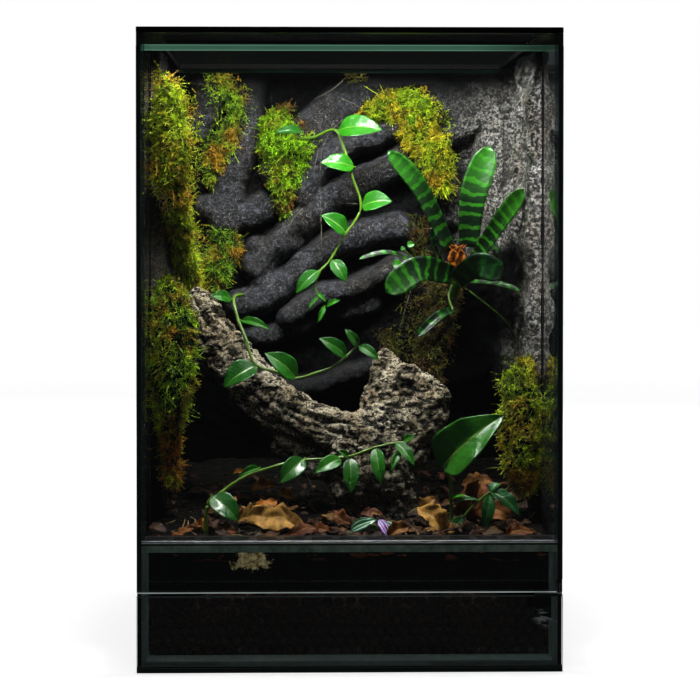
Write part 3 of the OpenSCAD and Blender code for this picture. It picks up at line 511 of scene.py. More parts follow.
def earth_look(name, dark, light, size, depth):
    """Crumbly matter in two tones, its crumbs about size across."""
    look = Look(name)
    tone = look.mix(look.fade(look.noise(size * 0.7, 4), 0.4, 0.7), dark, light)
    matt = look.fade(look.noise(size, 2), 0.4, 0.7, 0.7, 0.95)
    grit = look.bump(look.noise(size * 0.4, 3), depth * 0.4)
    crumbs = look.bump(look.cells(size), depth, 0.8, grit)
    return look.done(look.surface(tone, matt, crumbs, 0.2))


# A tan leaf pressed to the glass: its middle in the photograph, half length, and flatness
TAN_LEAF = (252, 560)
TAN_LEAF_HALF = 17
TAN_LEAF_FLAT = 1.9


def soil_look(name):
    """Near-black soil: dark earth, made darker still by painted shade. Just below its top a tan
    leaf and rusty bits are pressed to the glass; the leaf glows faintly, painted light.
    """
    look = Look(name)
    _, y, z = look.xyz()
    # Near black: the soil's own dark colour and painted shade.
    tone = look.mix(look.fade(look.noise(5, 4), 0.4, 0.7), srgb(2, 2, 1), srgb(12, 9, 6))
    front = look.math("LESS_THAN", y, (BED_Y + 0.4) * MM)
    top = look.times(front, look.fade(z, 0.099, 0.106))
    bits = look.fade(look.noise(15, 3, 0.6, look.stretch(0.6, 0.2, 1.6)), 0.57, 0.60)
    tone = look.mix(look.times(top, bits), tone, srgb(190, 104, 50))
    middle = at(*TAN_LEAF, BED_Y) * MM
    away = look.distance(
        look.stretch(1, 0, TAN_LEAF_FLAT), (middle[0], 0, TAN_LEAF_FLAT * middle[2]))
    torn = look.times(look.minus(look.noise(11, 5, 0.8), 0.5), 4.0)
    ragged = look.math("ADD", look.math("DIVIDE", away, TAN_LEAF_HALF * MM), torn)
    leaf_at = look.times(front, look.fade(ragged, 0.85, 1.05, 1.0, 0.0))
    tan = look.mix(look.fade(look.noise(5, 4), 0.4, 0.6), srgb(150, 110, 60), srgb(255, 240, 180))
    tone = look.mix(leaf_at, tone, tan)
    matt = look.fade(look.noise(7, 2), 0.4, 0.7, 0.8, 0.98)
    # Painted light: the tan leaf glows faintly, in place of lamplight.
    return look.done(look.surface(
        tone, matt, look.bump(look.cells(7), 2.4, 0.8), 0.06,
        Emission_Color=tone, Emission_Strength=look.times(leaf_at, 0.1)))


LOOKS = {
    "front": glass("door_pane", 1, CLEAR, EDGE, glow=foot_line),
    "lower": glass("lower_pane", 1, CLEAR, EDGE, chalky=True),
    "upright": glass("upright_pane", 1, CLEAR, EDGE),
    "side": glass("side_pane", 0, CLEAR, EDGE, 0.03, 2.2),
    "flat": glass("flat_pane", 2, CLEAR, ROOF_EDGE, 0.008, 60.0, roof_edge),
    "base": glass("base_pane", 2, (0.6, 0.7, 0.66), srgb(44, 60, 54)),
    "acrylic": glass("acrylic_clear", 1, (0.93, 0.95, 0.94), srgb(20, 30, 28)),
    "frame": plastic("frame_black", srgb(3, 3, 3), 0.7, 0.05),
    "block": plastic("block_black", srgb(8, 8, 8), 0.5),
    "nylon": plastic("nylon", srgb(214, 212, 204), 0.4),
    "sheet": plastic("separator_black", srgb(18, 18, 18), 0.8),
    "strip": strip_look("strip_dark"),
    "black_bond": silicone("bond_black", srgb(12, 13, 13)),
    "clear_bond": silicone("bond_clear", srgb(150, 172, 168), 0.6),
    "seal": silicone("seal_clear", srgb(60, 76, 80), 0.5, 0.6),
    "steel": metal("steel", (0.55, 0.56, 0.58), 0.3),
    "mesh": metal("mesh_wire", srgb(6, 6, 6), 0.8),
    "rock": rock(
        "wet_rock", srgb(4, 4, 5), srgb(70, 70, 84), srgb(62, 54, 52), srgb(158, 152, 148)),
    "brown_rock": rock(
        "brown_rock", srgb(5, 4, 4), srgb(104, 90, 82), srgb(110, 88, 74), None, 0.16),
    "grey_rock": rock(
        "grey_rock", srgb(4, 4, 5), srgb(176, 172, 170), srgb(152, 142, 134), None, 0.2, 0.2),
    "panel": earth_look("panel_back", srgb(50, 44, 38), srgb(116, 104, 92), 6, 0.8),
    "clay": earth_look("clay", srgb(40, 26, 20), srgb(84, 54, 40), 5, 0.7),
    "grey_root": earth_look("root_grey", srgb(70, 66, 56), srgb(128, 122, 104), 3, 0.3),
    "root": earth_look("root_brown", srgb(84, 66, 40), srgb(150, 128, 84), 3, 0.3),
    "bark": bark_look("cork"),
    "soil": soil_look("soil_dark"),
    "litter": dry_look(
        "dead_leaves", srgb(84, 38, 18), srgb(134, 82, 34), srgb(180, 134, 62),
        srgb(104, 60, 30), srgb(206, 130, 44)),
    "cup": dry_look("cup_orange", srgb(120, 40, 24), srgb(190, 110, 30), srgb(206, 140, 40)),
    "stem": leaf_look(
        "stem_green", srgb(98, 128, 30), srgb(50, 92, 18), 0.4, drops=0.0, vein=0.0),
    "vine": leaf_look("vine_green", srgb(36, 112, 8), srgb(6, 60, 10)),
    "banded": leaf_look(
        "bromeliad_green", srgb(50, 120, 22), srgb(12, 58, 14), 0.36, 46.0, drops=0.0, vein=0.0),
    "dark": leaf_look("dark_green", srgb(80, 176, 26), srgb(6, 44, 17), 0.24, drops=0.1),
    "low": leaf_look("low_green", srgb(34, 112, 38), srgb(12, 62, 28), 0.3, drops=0.6),
    "striped": leaf_look(
        "striped_green", srgb(40, 110, 60), srgb(24, 80, 52), 0.3, streak=10.0),
    "purple": leaf_look(
        "striped_purple", srgb(150, 90, 190), srgb(110, 60, 150), 0.3, streak=10.0),
}


# Mesh tools
def lattice(i, j, k, seed):
    """A fixed random number from -1 to 1 for each lattice point."""
    n = (i * 73856093) ^ (j * 19349663) ^ (k * 83492791) ^ (seed * 668265263)
    n = ((n ^ (n >> 13)) * 1274126177) & 0xFFFFFFFF
    return ((n ^ (n >> 15)) & 0xFFFF) / 32767.5 - 1


def rough(points, size, seed=0):
    """Smooth noise from -1 to 1 at each point, with bumps about size mm apart."""
    p = np.asarray(points, float) / size + 100.3 * (seed + 1)
    cell = np.floor(p).astype(np.int64)
    t = p - cell
    t = t * t * (3 - 2 * t)
    total = 0
    for corner in np.ndindex(2, 2, 2):
        near = np.abs(1 - np.array(corner) - t)
        weight = near[..., 0] * near[..., 1] * near[..., 2]
        total = total + weight * lattice(*np.moveaxis(cell + corner, -1, 0), seed)
    return total


def layered(points, size, seed=0, layers=3):
    """Noise in layers, each finer and weaker than the one before."""
    return sum(rough(points, size / 2.1**i, seed + i) * 0.55**i for i in range(layers))


def creased(points, size, seed=0, layers=3):
    """Noise with sharp valleys, from 0 in a crease to 1 on a plate."""
    return sum(np.abs(rough(points, size / 2.1**i, seed + i)) * 0.55**i for i in range(layers))


def unit(v):
    """The vectors, each made 1 long."""
    v = np.asarray(v, float)
    return v / np.maximum(np.linalg.norm(v, axis=-1, keepdims=True), 1e-9)


def smooth_path(points, steps):
    """A smooth curve through the points, in steps equal parameter steps."""
    p = np.asarray(points, float)
    p = np.vstack([2 * p[0] - p[1], p, 2 * p[-1] - p[-2]])
    u = np.linspace(0, len(p) - 3 - 1e-6, steps)
    i = u.astype(int)
    t = (u - i)[:, None]
    a, b, c, d = p[i], p[i + 1], p[i + 2], p[i + 3]
    square, cube = 2 * a - 5 * b + 4 * c - d, 3 * b - a - 3 * c + d
    return 0.5 * (2 * b + (c - a) * t + square * t**2 + cube * t**3)


class Heap:
    """Gathers many small forms into one mesh with its attributes."""

    def __init__(self):
        self.points, self.faces, self.count, self.slots = [], [], 0, []
        self.values = {"along": [], "across": [], "tone": [], "dry": [], "tip": []}

    def add(self, points, faces, slot=0, **values):
        """Adds points and faces, with the material slot and attribute values they get."""
        points = np.asarray(points, float).reshape(-1, 3)
        faces = np.asarray(faces)
        self.points.append(points)
        self.faces.extend((faces + self.count).tolist())
        self.slots.extend([slot] * len(faces))
        self.count += len(points)
        for key, kept in self.values.items():
            value = values.get(key, 1.0 if key == "tip" else 0.0)
            kept.append(np.broadcast_to(np.asarray(value, float), (len(points),)).copy())

    def grid(self, points, slot=0, outside=None, **values):
        """A sheet of quads through rows of points, facing the outside if that is given."""
        rows, columns = points.shape[:2]
        i = np.arange((rows - 1) * columns).reshape(rows - 1, columns)[:, :-1].ravel()
        faces = np.stack([i, i + 1, i + columns + 1, i + columns], 1)
        if outside is not None:
            corner = points[:-1, :-1]
            normal = np.cross(points[:-1, 1:] - corner, points[1:, :-1] - corner).sum((0, 1))
            faces = faces if normal @ np.array(outside) > 0 else faces[:, ::-1]
        flat = {k: (np.asarray(v).reshape(-1) if np.ndim(v) else v) for k, v in values.items()}
        self.add(points, faces, slot, **flat)

    def tube(self, path, radius, sides=6, slot=0, **values):
        """A tube with closed ends along a path."""
        path = np.asarray(path, float)
        radius = np.broadcast_to(np.asarray(radius, float), (len(path),))
        run = unit(np.gradient(path, axis=0))
        side = unit(np.cross(run, [0.31, 0.17, 0.93]))
        up = np.cross(run, side)
        angle = np.linspace(0, 2 * math.pi, sides, endpoint=False)[None, :, None]
        ring = side[:, None] * np.cos(angle) + up[:, None] * np.sin(angle)
        points = path[:, None] + ring * radius[:, None, None]
        n = len(path)
        i, j = np.meshgrid(np.arange(n - 1), np.arange(sides), indexing="ij")
        a, b = i * sides + j, i * sides + (j + 1) % sides
        faces = np.stack([a, b, b + sides, a + sides], -1).reshape(-1, 4)
        self.add(points, faces, slot, **values)
        for end, centre in ((0, path[0]), (n - 1, path[-1])):
            fan = [[k, (k + 1) % sides, sides][:: 1 if end else -1] for k in range(sides)]
            self.add(np.vstack([points[end], centre]), fan, slot, **values)

    def box(self, low, high):
        """A plain box between two corners."""
        (x0, y0, z0), (x1, y1, z1) = low, high
        corners = [(x, y, z) for z in (z0, z1) for x, y in ((x0, y0), (x1, y0), (x1, y1), (x0, y1))]
        sides = [[i, (i + 1) % 4, (i + 1) % 4 + 4, i + 4] for i in range(4)]
        self.add(corners, [[3, 2, 1, 0], [4, 5, 6, 7], *sides])

    def mesh(self, name):
        mesh = bpy.data.meshes.new(name)
        mesh.from_pydata(np.vstack(self.points) * MM, [], self.faces)
        return mesh

    def build(self, name, slot, node, *looks, smooth=True):
        """Makes the piece, which rides on the tank and stands for a node, or for none."""
        mesh = self.mesh(name)
        for key, parts in self.values.items():
            data = np.concatenate(parts)
            if data.any():
                mesh.attributes.new(key, "FLOAT", "POINT").data.foreach_set("value", data)
        mesh.polygons.foreach_set("material_index", self.slots)
        mesh.polygons.foreach_set("use_smooth", [smooth] * len(mesh.polygons))
        for look in looks:
            mesh.materials.append(LOOKS[look])
        mesh.update()
        obj = in_scene(name, mesh)
        if node:
            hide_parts(node)
        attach(obj, "tank")
        return obj


def thicken(obj, thickness, levels=0):
    """Gives a sheet its thickness, softened first by subdivision."""
    if levels:
        soft = obj.modifiers.new("soft", "SUBSURF")
        soft.levels = soft.render_levels = levels
    wall = obj.modifiers.new("wall", "SOLIDIFY")
    wall.thickness = thickness * MM
    wall.offset = 0


# The case
CASE = {
    "front": ["door_glass"],
    "lower": ["lower_front_glass"],
    "upright": ["retaining_glass", "back_glass"],
    "side": ["left_side_glass", "right_side_glass"],
    "flat": ["roof_glass"],
    "base": ["base_glass"],
    "frame": ["top_frame"],
    "block": ["door_upper_block", "door_catch_block", "lower_pivot_bracket"],
    "acrylic": ["door_lower_block"],
    "steel": ["catch_plate", "upper_pivot_pin", "lower_pivot_pin"],
    "nylon": ["pivot_washer"],
    "strip": ["front_vent_strip"],
    "black_bond": ["front_bond_silicone"],
    "clear_bond": ["channel_silicone"],
    "seal": ["left_seal_strip", "right_seal_strip"],
    "sheet": ["separator_sheet"],
    "soil": ["soil"],
}
MESH_BORDER, MESH_PITCH, MESH_WIRE = 5.0, 2.0, 0.28


def case():
    """The CAD parts that stay get their materials."""
    for look, names in CASE.items():
        for name in names:
            mesh = nodes[name].data
            mesh.materials.clear()
            mesh.materials.append(LOOKS[look])


def woven_mesh():
    """The roof mesh: wires woven over and under each other, in a folded border."""
    lo, hi = (np.array(c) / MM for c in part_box("roof_vent_mesh"))
    mid = (lo[2] + hi[2]) / 2
    heap = Heap()
    ends, spots = [], []
    for axis in (0, 1):
        low, high = lo[axis] + MESH_BORDER - 1, hi[axis] - MESH_BORDER + 1
        count = int((high - low) / MESH_PITCH)
        ends.append((low, high))
        spots.append(np.linspace(low + MESH_PITCH / 2, high - MESH_PITCH / 2, count))
    for axis, other in ((0, 1), (1, 0)):
        low, high = ends[other]
        run = np.concatenate([[low], spots[other], [high]])
        for i, place in enumerate(spots[axis]):
            path = np.zeros((len(run), 3))
            path[:, axis], path[:, other] = place, run
            sign = (-1.0) ** (np.arange(len(run)) + i) * (1 if axis else -1)
            path[:, 2] = mid + MESH_WIRE * 0.9 * sign
            heap.tube(path, MESH_WIRE, 4)
    (left, front, under), (right, rear, top) = lo, hi
    inner_left, inner_right = left + MESH_BORDER, right - MESH_BORDER
    inner_front, inner_rear = front + MESH_BORDER, rear - MESH_BORDER
    for x0, y0, x1, y1 in (
        (left, front, right, inner_front), (left, inner_rear, right, rear),
        (left, inner_front, inner_left, inner_rear), (inner_right, inner_front, right, inner_rear),
    ):
        heap.box((x0, y0, under), (x1, y1, top))
    heap.build("woven_roof_mesh", "black_mesh", "roof_vent_mesh", "mesh", smooth=False)


# Background and coverings. Rolls of rock and root: photograph points along the middle,
# then half width and height
ROLLS = [
    ([(284, 172), (303, 142), (330, 112), (370, 88), (425, 66)], 24, 26),
    ([(306, 196), (320, 164), (350, 143), (385, 129), (432, 108)], 17, 34),
    ([(258, 266), (284, 240), (312, 212), (345, 192), (385, 170), (420, 150)], 19, 31),
    ([(238, 303), (270, 291), (293, 273), (318, 252), (358, 236), (400, 228)], 18, 29),
    ([(288, 316), (320, 298), (346, 290), (381, 275), (402, 264)], 15, 32),
    ([(252, 334), (290, 328), (330, 314), (370, 306)], 13, 18),
    ([(258, 394), (290, 387), (323, 383), (376, 365)], 12, 28),
    ([(250, 84), (244, 140), (232, 180), (226, 222)], 20, 20),
    ([(204, 78), (206, 104), (196, 130)], 16, 26),
    ([(210, 206), (238, 216), (264, 206)], 17, 19),
    ([(262, 250), (262, 280)], 18, 26),
    ([(522, 62), (514, 110), (510, 170), (518, 240), (528, 330), (522, 380)], 36, 32),
    ([(436, 92), (470, 110), (500, 96)], 28, 17),
    ([(425, 142), (452, 130), (480, 120)], 15, 20),
    ([(448, 176), (458, 214)], 14, 15),
    ([(462, 374), (490, 358), (520, 350)], 22, 22),
    ([(184, 236), (188, 258)], 12, 18),
    ([(196, 450), (214, 486), (230, 520)], 16, 12),
    ([(160, 60), (180, 70), (230, 62), (330, 62), (470, 58)], 17, 8),
]
# Hollows: middle in the photograph, size and depth
HOLLOWS = [
    ((236, 452), 40, 12), ((495, 318), 34, 12), ((462, 160), 14, 8), ((336, 338), 26, 10),
    ((280, 262), 12, 8), ((300, 235), 10, 10), ((176, 250), 10, 8), ((372, 400), 22, 8),
    ((476, 352), 26, 16), ((500, 420), 40, 16),
]
# Where no lamplight reaches: circles in the photograph
SHADED = [(218, 412, 72), (484, 306, 50), (505, 268, 30), (470, 360, 40), (500, 420, 60)]
BACKGROUND_GRID = (240, 318)
CLADDING_GRID = (104, 190)


def to_segment(p, a, b):
    """Distance of each point from the segment a to b."""
    t = np.clip(((p - a) @ (b - a)) / max((b - a) @ (b - a), 1e-9), 0, 1)
    return np.linalg.norm(p - a - t[..., None] * (b - a), axis=-1)


def relief(x, z):
    """Height of the background over its slab at x and z."""
    p = np.stack([x, z], -1)
    deep = np.stack([x, 0 * x, z], -1)
    bent = p + np.stack([layered(deep, 44, 3), layered(deep, 44, 5)], -1) * 3.4
    height = np.full(x.shape, -3.0)
    for path, half, top in ROLLS:
        line = smooth_path([at(*spot, BACK_FACE_Y - 16) for spot in path], 6 * len(path))[:, [0, 2]]
        away = np.min([to_segment(bent, a, b) for a, b in zip(line, line[1:])], axis=0)
        round_top = np.clip(1 - (away / (half * 1.08)) ** 2.4, 0, 1) ** 0.55
        height = np.maximum(height, top * round_top - 2)
    for spot, size, depth in HOLLOWS:
        c = at(*spot, BACK_FACE_Y)[[0, 2]]
        height = height - depth * np.exp(-((np.linalg.norm(bent - c, axis=-1) / size) ** 2))
    plain = np.clip(height / 18, 0, 1)
    coarse, fine = layered(deep, 24, 11), layered(deep, 7, 21, 2)
    height = height + (3.0 - 1.6 * plain) * coarse + (1.9 - 1.2 * plain) * fine
    height = height + 0.55 * rough(deep, 2.4, 31)
    sides, ends = np.minimum(x + WALL_X, WALL_X - x) / 14, np.minimum(z - BASE_Z, ROOF_Z - z) / 14
    return height * np.clip(np.minimum(sides, ends), 0, 1)


def rock_face(x, z, proud=0.0):
    """Depth of the background's surface at x and z, or of what stands proud of it."""
    return BACK_FACE_Y - np.clip(relief(x, z), -14, 36) + proud


def slab(heap, front, out, wall, rim_slot, rim_tip, **values):
    """A relief that faces out, its flat rear at wall, and the rims that close it."""
    axis = int(np.argmax(np.abs(out)))
    side = np.eye(3)[1 - axis]
    rear = front.copy()
    rear[..., axis] = wall
    heap.grid(front, 0, out, **values)
    heap.grid(rear[:: len(front) - 1, :: front.shape[1] - 1], 1, -np.array(out))
    for edge, way in (
        ((0, np.s_[:]), (0, 0, 1)), ((-1, np.s_[:]), (0, 0, -1)),
        ((np.s_[:], 0), -side), ((np.s_[:], -1), side),
    ):
        heap.grid(np.stack([front[edge], rear[edge]]), rim_slot, way, tip=rim_tip)


def background():
    """The root and rock relief on the back pane."""
    columns, rows = BACKGROUND_GRID
    x, z = np.meshgrid(np.linspace(-WALL_X, WALL_X, columns), np.linspace(ROOF_Z, BASE_Z, rows))
    front = np.stack([x, rock_face(x, z), z], -1)
    corner = np.clip((z - 320) / 60, 0.04, 1)
    pale = np.clip((x - 118) / 40 + 0.35 * layered(front, 40, 7), 0, 1) * corner
    # Light reaches the rolls and the pale corner, and hardly the ground between them
    lit = np.clip((BACK_FACE_Y - front[..., 1] + 2) / 20, 0.16, 1)
    dark = within(front.reshape(-1, 3), SHADED).reshape(x.shape)
    tip = np.maximum(lit, 0.9 * pale) * (1 - 0.85 * dark)
    heap = Heap()
    slab(heap, front, (0, -1, 0), BACK_GLASS_Y - 0.1, 1, 1.0, dry=pale, tip=tip)
    heap.build("rock_background", "background", "background", "rock", "panel")


def soil_height(y):
    """The top of the soil at depth y: a gentle rise, then a steeper one."""
    mid = SOIL_Z + (SOIL_MID_Z - SOIL_Z) * (y - BED_Y) / (CLAD_Y - BED_Y)
    back = SOIL_MID_Z + (SOIL_BACK_Z - SOIL_MID_Z) * (y - CLAD_Y) / (BACK_FACE_Y - CLAD_Y)
    return np.where(y < CLAD_Y, mid, back)


def cladding(side, look, name, node):
    """The same covering on a side pane, left at side -1 and right at side 1."""
    columns, rows = CLADDING_GRID
    y, t = np.meshgrid(np.linspace(CLAD_Y, BACK_FACE_Y, columns), np.linspace(1, 0, rows))
    foot = soil_height(y)
    z = foot - 6 + (ROOF_Z - foot + 6) * t
    deep = np.stack([0 * y, y * 0.45, z * (0.6 if side < 0 else 1.0)], -1)
    coarse, folds = layered(deep, 34, 41 + side), creased(deep, 11, 51)
    height = 10 + 5 * coarse + 2.0 * folds + 0.9 * rough(deep, 3.2, 61)
    fade = np.clip((y - CLAD_Y) / 14, 0, 1)
    height = np.clip(height * (0.12 + 0.88 * fade), 1.0, 20)
    front = np.stack([side * (WALL_X - height), y, z], -1)
    # Painted shade: tip darkens the covering where no lamplight reaches.
    dark = within(front.reshape(-1, 3), SHADED).reshape(y.shape)
    heap = Heap()
    slab(heap, front, (-side, 0, 0), side * (WALL_X - 0.1), 0, 0.1, tip=1 - 0.9 * dark)
    heap.build(name, "cladding", node, look, "panel")


# Leaves: half width along the leaf, from its base at 0 to its tip at 1
HEART = [
    (0, 0.25), (0.04, 0.72), (0.14, 0.97), (0.32, 1), (0.55, 0.84), (0.76, 0.56), (0.9, 0.27),
    (0.97, 0.1), (1, 0.01),
]
OVAL = [
    (0, 0.02), (0.05, 0.42), (0.16, 0.82), (0.34, 1), (0.56, 0.95), (0.76, 0.68), (0.9, 0.34),
    (0.97, 0.12), (1, 0.01),
]
STRAP = [
    (0, 0.7), (0.1, 0.78), (0.35, 0.9), (0.65, 1), (0.85, 0.9), (0.95, 0.55), (0.99, 0.2),
    (1, 0.02),
]
LOBED = [
    (0, 0.05), (0.08, 0.3), (0.16, 0.62), (0.22, 0.5), (0.34, 0.95), (0.42, 0.7), (0.55, 1),
    (0.66, 0.72), (0.8, 0.8), (0.92, 0.4), (1, 0.03),
]


def half_width(outline, u, most=1.1):
    """The outline's half width at each u, as a share of the widest."""
    shape = smooth_path(outline, 60)
    return np.interp(u, shape[:, 0], np.clip(shape[:, 1], 0, most))


def blade(base, tip, width, face, arch, fold, outline, size, ripple, crumple=0.0):
    """The sheet of points of one leaf, arched along and folded at its midrib."""
    base, tip = np.asarray(base, float), np.asarray(tip, float)
    length = np.linalg.norm(tip - base)
    run = unit(tip - base)
    side = unit(np.cross(run, unit(face)))
    up = np.cross(side, run)
    u, v = np.linspace(0, 1, size[0] + 1), np.linspace(-1, 1, size[1] + 1)
    half = width / 2 * half_width(outline, u)
    U, V = np.meshgrid(u, v, indexing="ij")
    H = half[:, None]
    points = base + run * (length * U)[..., None]
    points = points + up * (length * arch * 4 * U * (1 - U))[..., None]
    points = points + side * (H * V * math.cos(fold))[..., None]
    points = points + up * (H * np.abs(V) * math.sin(fold))[..., None]
    wave = width * ripple * np.sin(U * 17 + V * 2) * np.abs(V) ** 2
    points = points + up * wave[..., None]
    if crumple:
        lumps = layered(points, 14, int(base[0]) % 50 + 70, 2)
        points = points + unit(up + 0.3) * (crumple * lumps)[..., None]
    return points


def lay(heap, points, slot=0, **values):
    """Adds a leaf's sheet, with where each point lies along and across it."""
    rows, columns = points.shape[:2]
    U, V = np.meshgrid(np.linspace(0, 1, rows), np.linspace(-1, 1, columns), indexing="ij")
    heap.grid(points, slot, along=U, across=V, **values)


def leaf(heap, base, tip, width, face, arch, fold, tone, slot=0, size=(14, 8), ripple=0.03,
         outline=OVAL):
    """One green leaf from its base to its tip."""
    lay(heap, blade(base, tip, width, face, arch, fold, outline, size, ripple), slot, tone=tone)


# Fallen leaves: middle in the photograph, length, width, turn, lean of the face, tone
FALLEN = [
    (276, 523, 66, 34, -12, 0.55, 0.52), (252, 517, 40, 24, 14, 0.6, 0.56),
    (266, 506, 30, 18, 40, 0.8, 0.9), (302, 534, 34, 18, 16, 0.7, 0.05),
    (231, 503, 22, 14, 60, 0.7, 0.95), (201, 524, 18, 12, 80, 0.7, 0.9),
    (433, 520, 44, 30, -52, 0.5, 0.5), (441, 533, 38, 20, 6, 0.7, 0.56),
    (424, 506, 28, 20, 30, 0.7, 0.6), (472, 500, 60, 38, 74, 0.3, 0.14),
    (493, 512, 40, 30, -24, 0.6, 0.22), (478, 482, 34, 24, 12, 0.5, 0.68),
    (320, 532, 26, 14, 5, 0.7, 0.1), (345, 506, 26, 16, 20, 0.8, 0.7),
    (263, 486, 26, 18, 10, 0.8, 0.3), (286, 496, 22, 14, -30, 0.8, 0.35),
    (240, 470, 14, 9, 0, 0.8, 0.95), (411, 503, 24, 14, 60, 0.7, 0.1),
    (225, 533, 22, 12, 0, 0.7, 0.1), (372, 516, 26, 14, -12, 0.8, 0.75),
    (520, 534, 30, 18, 20, 0.8, 0.12), (338, 520, 30, 18, -18, 0.8, 0.08),
    (182, 534, 26, 15, 24, 0.8, 0.2), (398, 530, 28, 16, 40, 0.8, 0.3),
]
BITS, STALKS = 260, 46
# Tones of the small bits, and the share of the bits that has each
BIT_TONES = [0.02, 0.1, 0.3, 0.55, 0.8]
BIT_SHARES = [0.35, 0.3, 0.2, 0.1, 0.05]
# The ground has a fine grid from its front to here
FINE_TO_Y = BED_Y + 150


def litter_floor(heap):
    """The rough ground that the leaves lie on."""
    depth = np.concatenate([np.linspace(BED_Y, FINE_TO_Y, 60),
                            np.linspace(FINE_TO_Y + 6, BACK_FACE_Y + 4, 34)])
    x, y = np.meshgrid(np.linspace(-WALL_X + 0.3, WALL_X - 0.3, 130), depth)
    flat = np.stack([x, y, 0 * x], -1)
    cover = np.where(y < FINE_TO_Y, 4.5, 3.0)
    z = soil_height(y) + cover + 2.2 * layered(flat, 30, 81) + 2.4 * layered(flat, 11, 91, 2)
    z = np.maximum(z, soil_height(y) + 0.6)
    z[:, 0] = z[:, -1] = soil_height(depth)
    z[0] = np.minimum(z[0], soil_height(y[0]) + 2.5)
    top = np.stack([x, y, z], -1)
    heap.grid(top, 1)
    for strip in (top[0][::-1], top[-1]):
        foot = strip.copy()
        foot[:, 2] = soil_height(foot[:, 1])
        heap.grid(np.stack([strip, foot]), 1)


def fallen_leaves(heap):
    """The large dead leaves of the photograph."""
    for px, py, long, wide, turn, lean, tone in FALLEN:
        a = math.radians(turn)
        reach = np.array([math.cos(a), -0.12, math.sin(a) * 0.8]) * long / 2
        # Slide the leaf back along its line of sight until its lowest point rests on the ground
        for y0 in np.arange(BED_Y + 10, -20, 3.0):
            middle = at(px, py, y0)
            points = blade(middle - reach, middle + reach, wide, (0.1, -0.9, lean), 0.16, 0.45,
                           LOBED, (16, 10), 0.09, 4.5)
            if (points[..., 2] - soil_height(points[..., 1])).min() < 4:
                break
        points[..., 1] = np.maximum(points[..., 1], BED_Y + 0.8)
        lay(heap, points, tone=tone)


def small_bits(heap, draw):
    """Small leaves and chips, strewn more thickly towards the front."""
    for _ in range(BITS):
        place = np.array([draw.uniform(-185, 185), BED_Y + 6 + 250 * draw.random() ** 1.6, 0])
        place[2] = soil_height(place[1]) + draw.uniform(4, 10)
        a, long = draw.uniform(0, 2 * math.pi), draw.uniform(7, 26)
        reach = np.array([math.cos(a), math.sin(a), draw.uniform(-0.25, 0.3)]) * long / 2
        reach[1] = np.clip(reach[1], -place[1] + BED_Y + 1, 200)
        face = (draw.uniform(-0.5, 0.5), draw.uniform(-0.8, 0.1), 1)
        wide = long * draw.uniform(0.4, 0.7)
        points = blade(
            place - reach, place + reach, wide, face, 0.15, 0.35, LOBED, (8, 4), 0.08, 2.5)
        points[..., 1] = np.maximum(points[..., 1], BED_Y + 0.8)
        tone = draw.choice(BIT_TONES, p=BIT_SHARES)
        lay(heap, points, tone=tone, dry=draw.uniform(0.3, 1) ** 0.6)


def stalks(heap, draw):
    """Thin dry stalks between the leaves."""
    for _ in range(STALKS):
        start = np.array([draw.uniform(-180, 180), draw.uniform(BED_Y + 6, BED_Y + 140), 0])
        start[2] = soil_height(start[1]) + 5
        end = start + np.array([draw.uniform(-22, 22), draw.uniform(-10, 14), draw.uniform(-1, 14)])
        end[1] = max(end[1], BED_Y + 1)
        middle = (start + end) / 2 + draw.uniform(-3, 3, 3)
        heap.tube(smooth_path([start, middle, end], 7), np.linspace(0.7, 0.3, 7), 5, 2, tone=0.3)


def ground():
    """The litter: a rough floor, dead leaves, bits and stalks."""
    heap = Heap()
    draw = np.random.default_rng(21)
    litter_floor(heap)
    fallen_leaves(heap)
    small_bits(heap, draw)
    stalks(heap, draw)
    litter = heap.build("forest_litter", "leaf_litter", "leaf_litter", "litter", "soil", "root")
    thicken(litter, 0.35)


# Distance between the clay balls
BALL_STEP = 11.0


def ball(centre, radius, seed, rings=5, sides=8):
    """A lumpy clay ball."""
    tilt = np.linspace(0, math.pi, rings + 1)
    turn = np.linspace(2 * math.pi, 0, sides + 1)
    T, P = np.meshgrid(tilt, turn, indexing="ij")
    out = np.stack([np.sin(T) * np.cos(P), np.sin(T) * np.sin(P), np.cos(T)], -1)
    lump = 1 + 0.12 * rough(out * 7 + seed, 6, 5)
    lump[:, -1] = lump[:, 0]
    lump[0], lump[-1] = lump[0, 0], lump[-1, 0]
    return centre + out * (radius * lump)[..., None]


def drainage():
    """Clay balls packed against the panes, round a core."""
    draw = np.random.default_rng(33)
    heap = Heap()
    half = WALL_X - 0.4
    level = 0
    z = BASE_Z + 6
    while z < DRAIN_Z - 5:
        shift = (level % 2) * BALL_STEP / 2
        for x in np.arange(-half + 6 + shift, half - 5, BALL_STEP):
            centre = [x + draw.uniform(-1, 1), BED_Y + 6.2, z + draw.uniform(-1, 1)]
            clay = ball(centre, draw.uniform(4.9, 6.0), draw.uniform(0, 99))
            heap.grid(clay, tone=draw.uniform())
        for side in (-1, 1):
            for y in np.arange(BED_Y + 16 - shift, BACK_FACE_Y - 6, BALL_STEP):
                centre = [side * (half - 6), y, z + draw.uniform(-1, 1)]
                clay = ball(centre, draw.uniform(4.9, 5.9), draw.uniform(0, 99), 4, 7)
                heap.grid(clay, tone=draw.uniform())
        z += BALL_STEP * 0.87
        level += 1
    heap.box((-half + 7, BED_Y + 7, BASE_Z + 0.2), (half - 7, BACK_FACE_Y - 0.4, DRAIN_Z - 0.2))
    heap.build("clay_balls", "clay_balls", "drainage_layer", "clay")


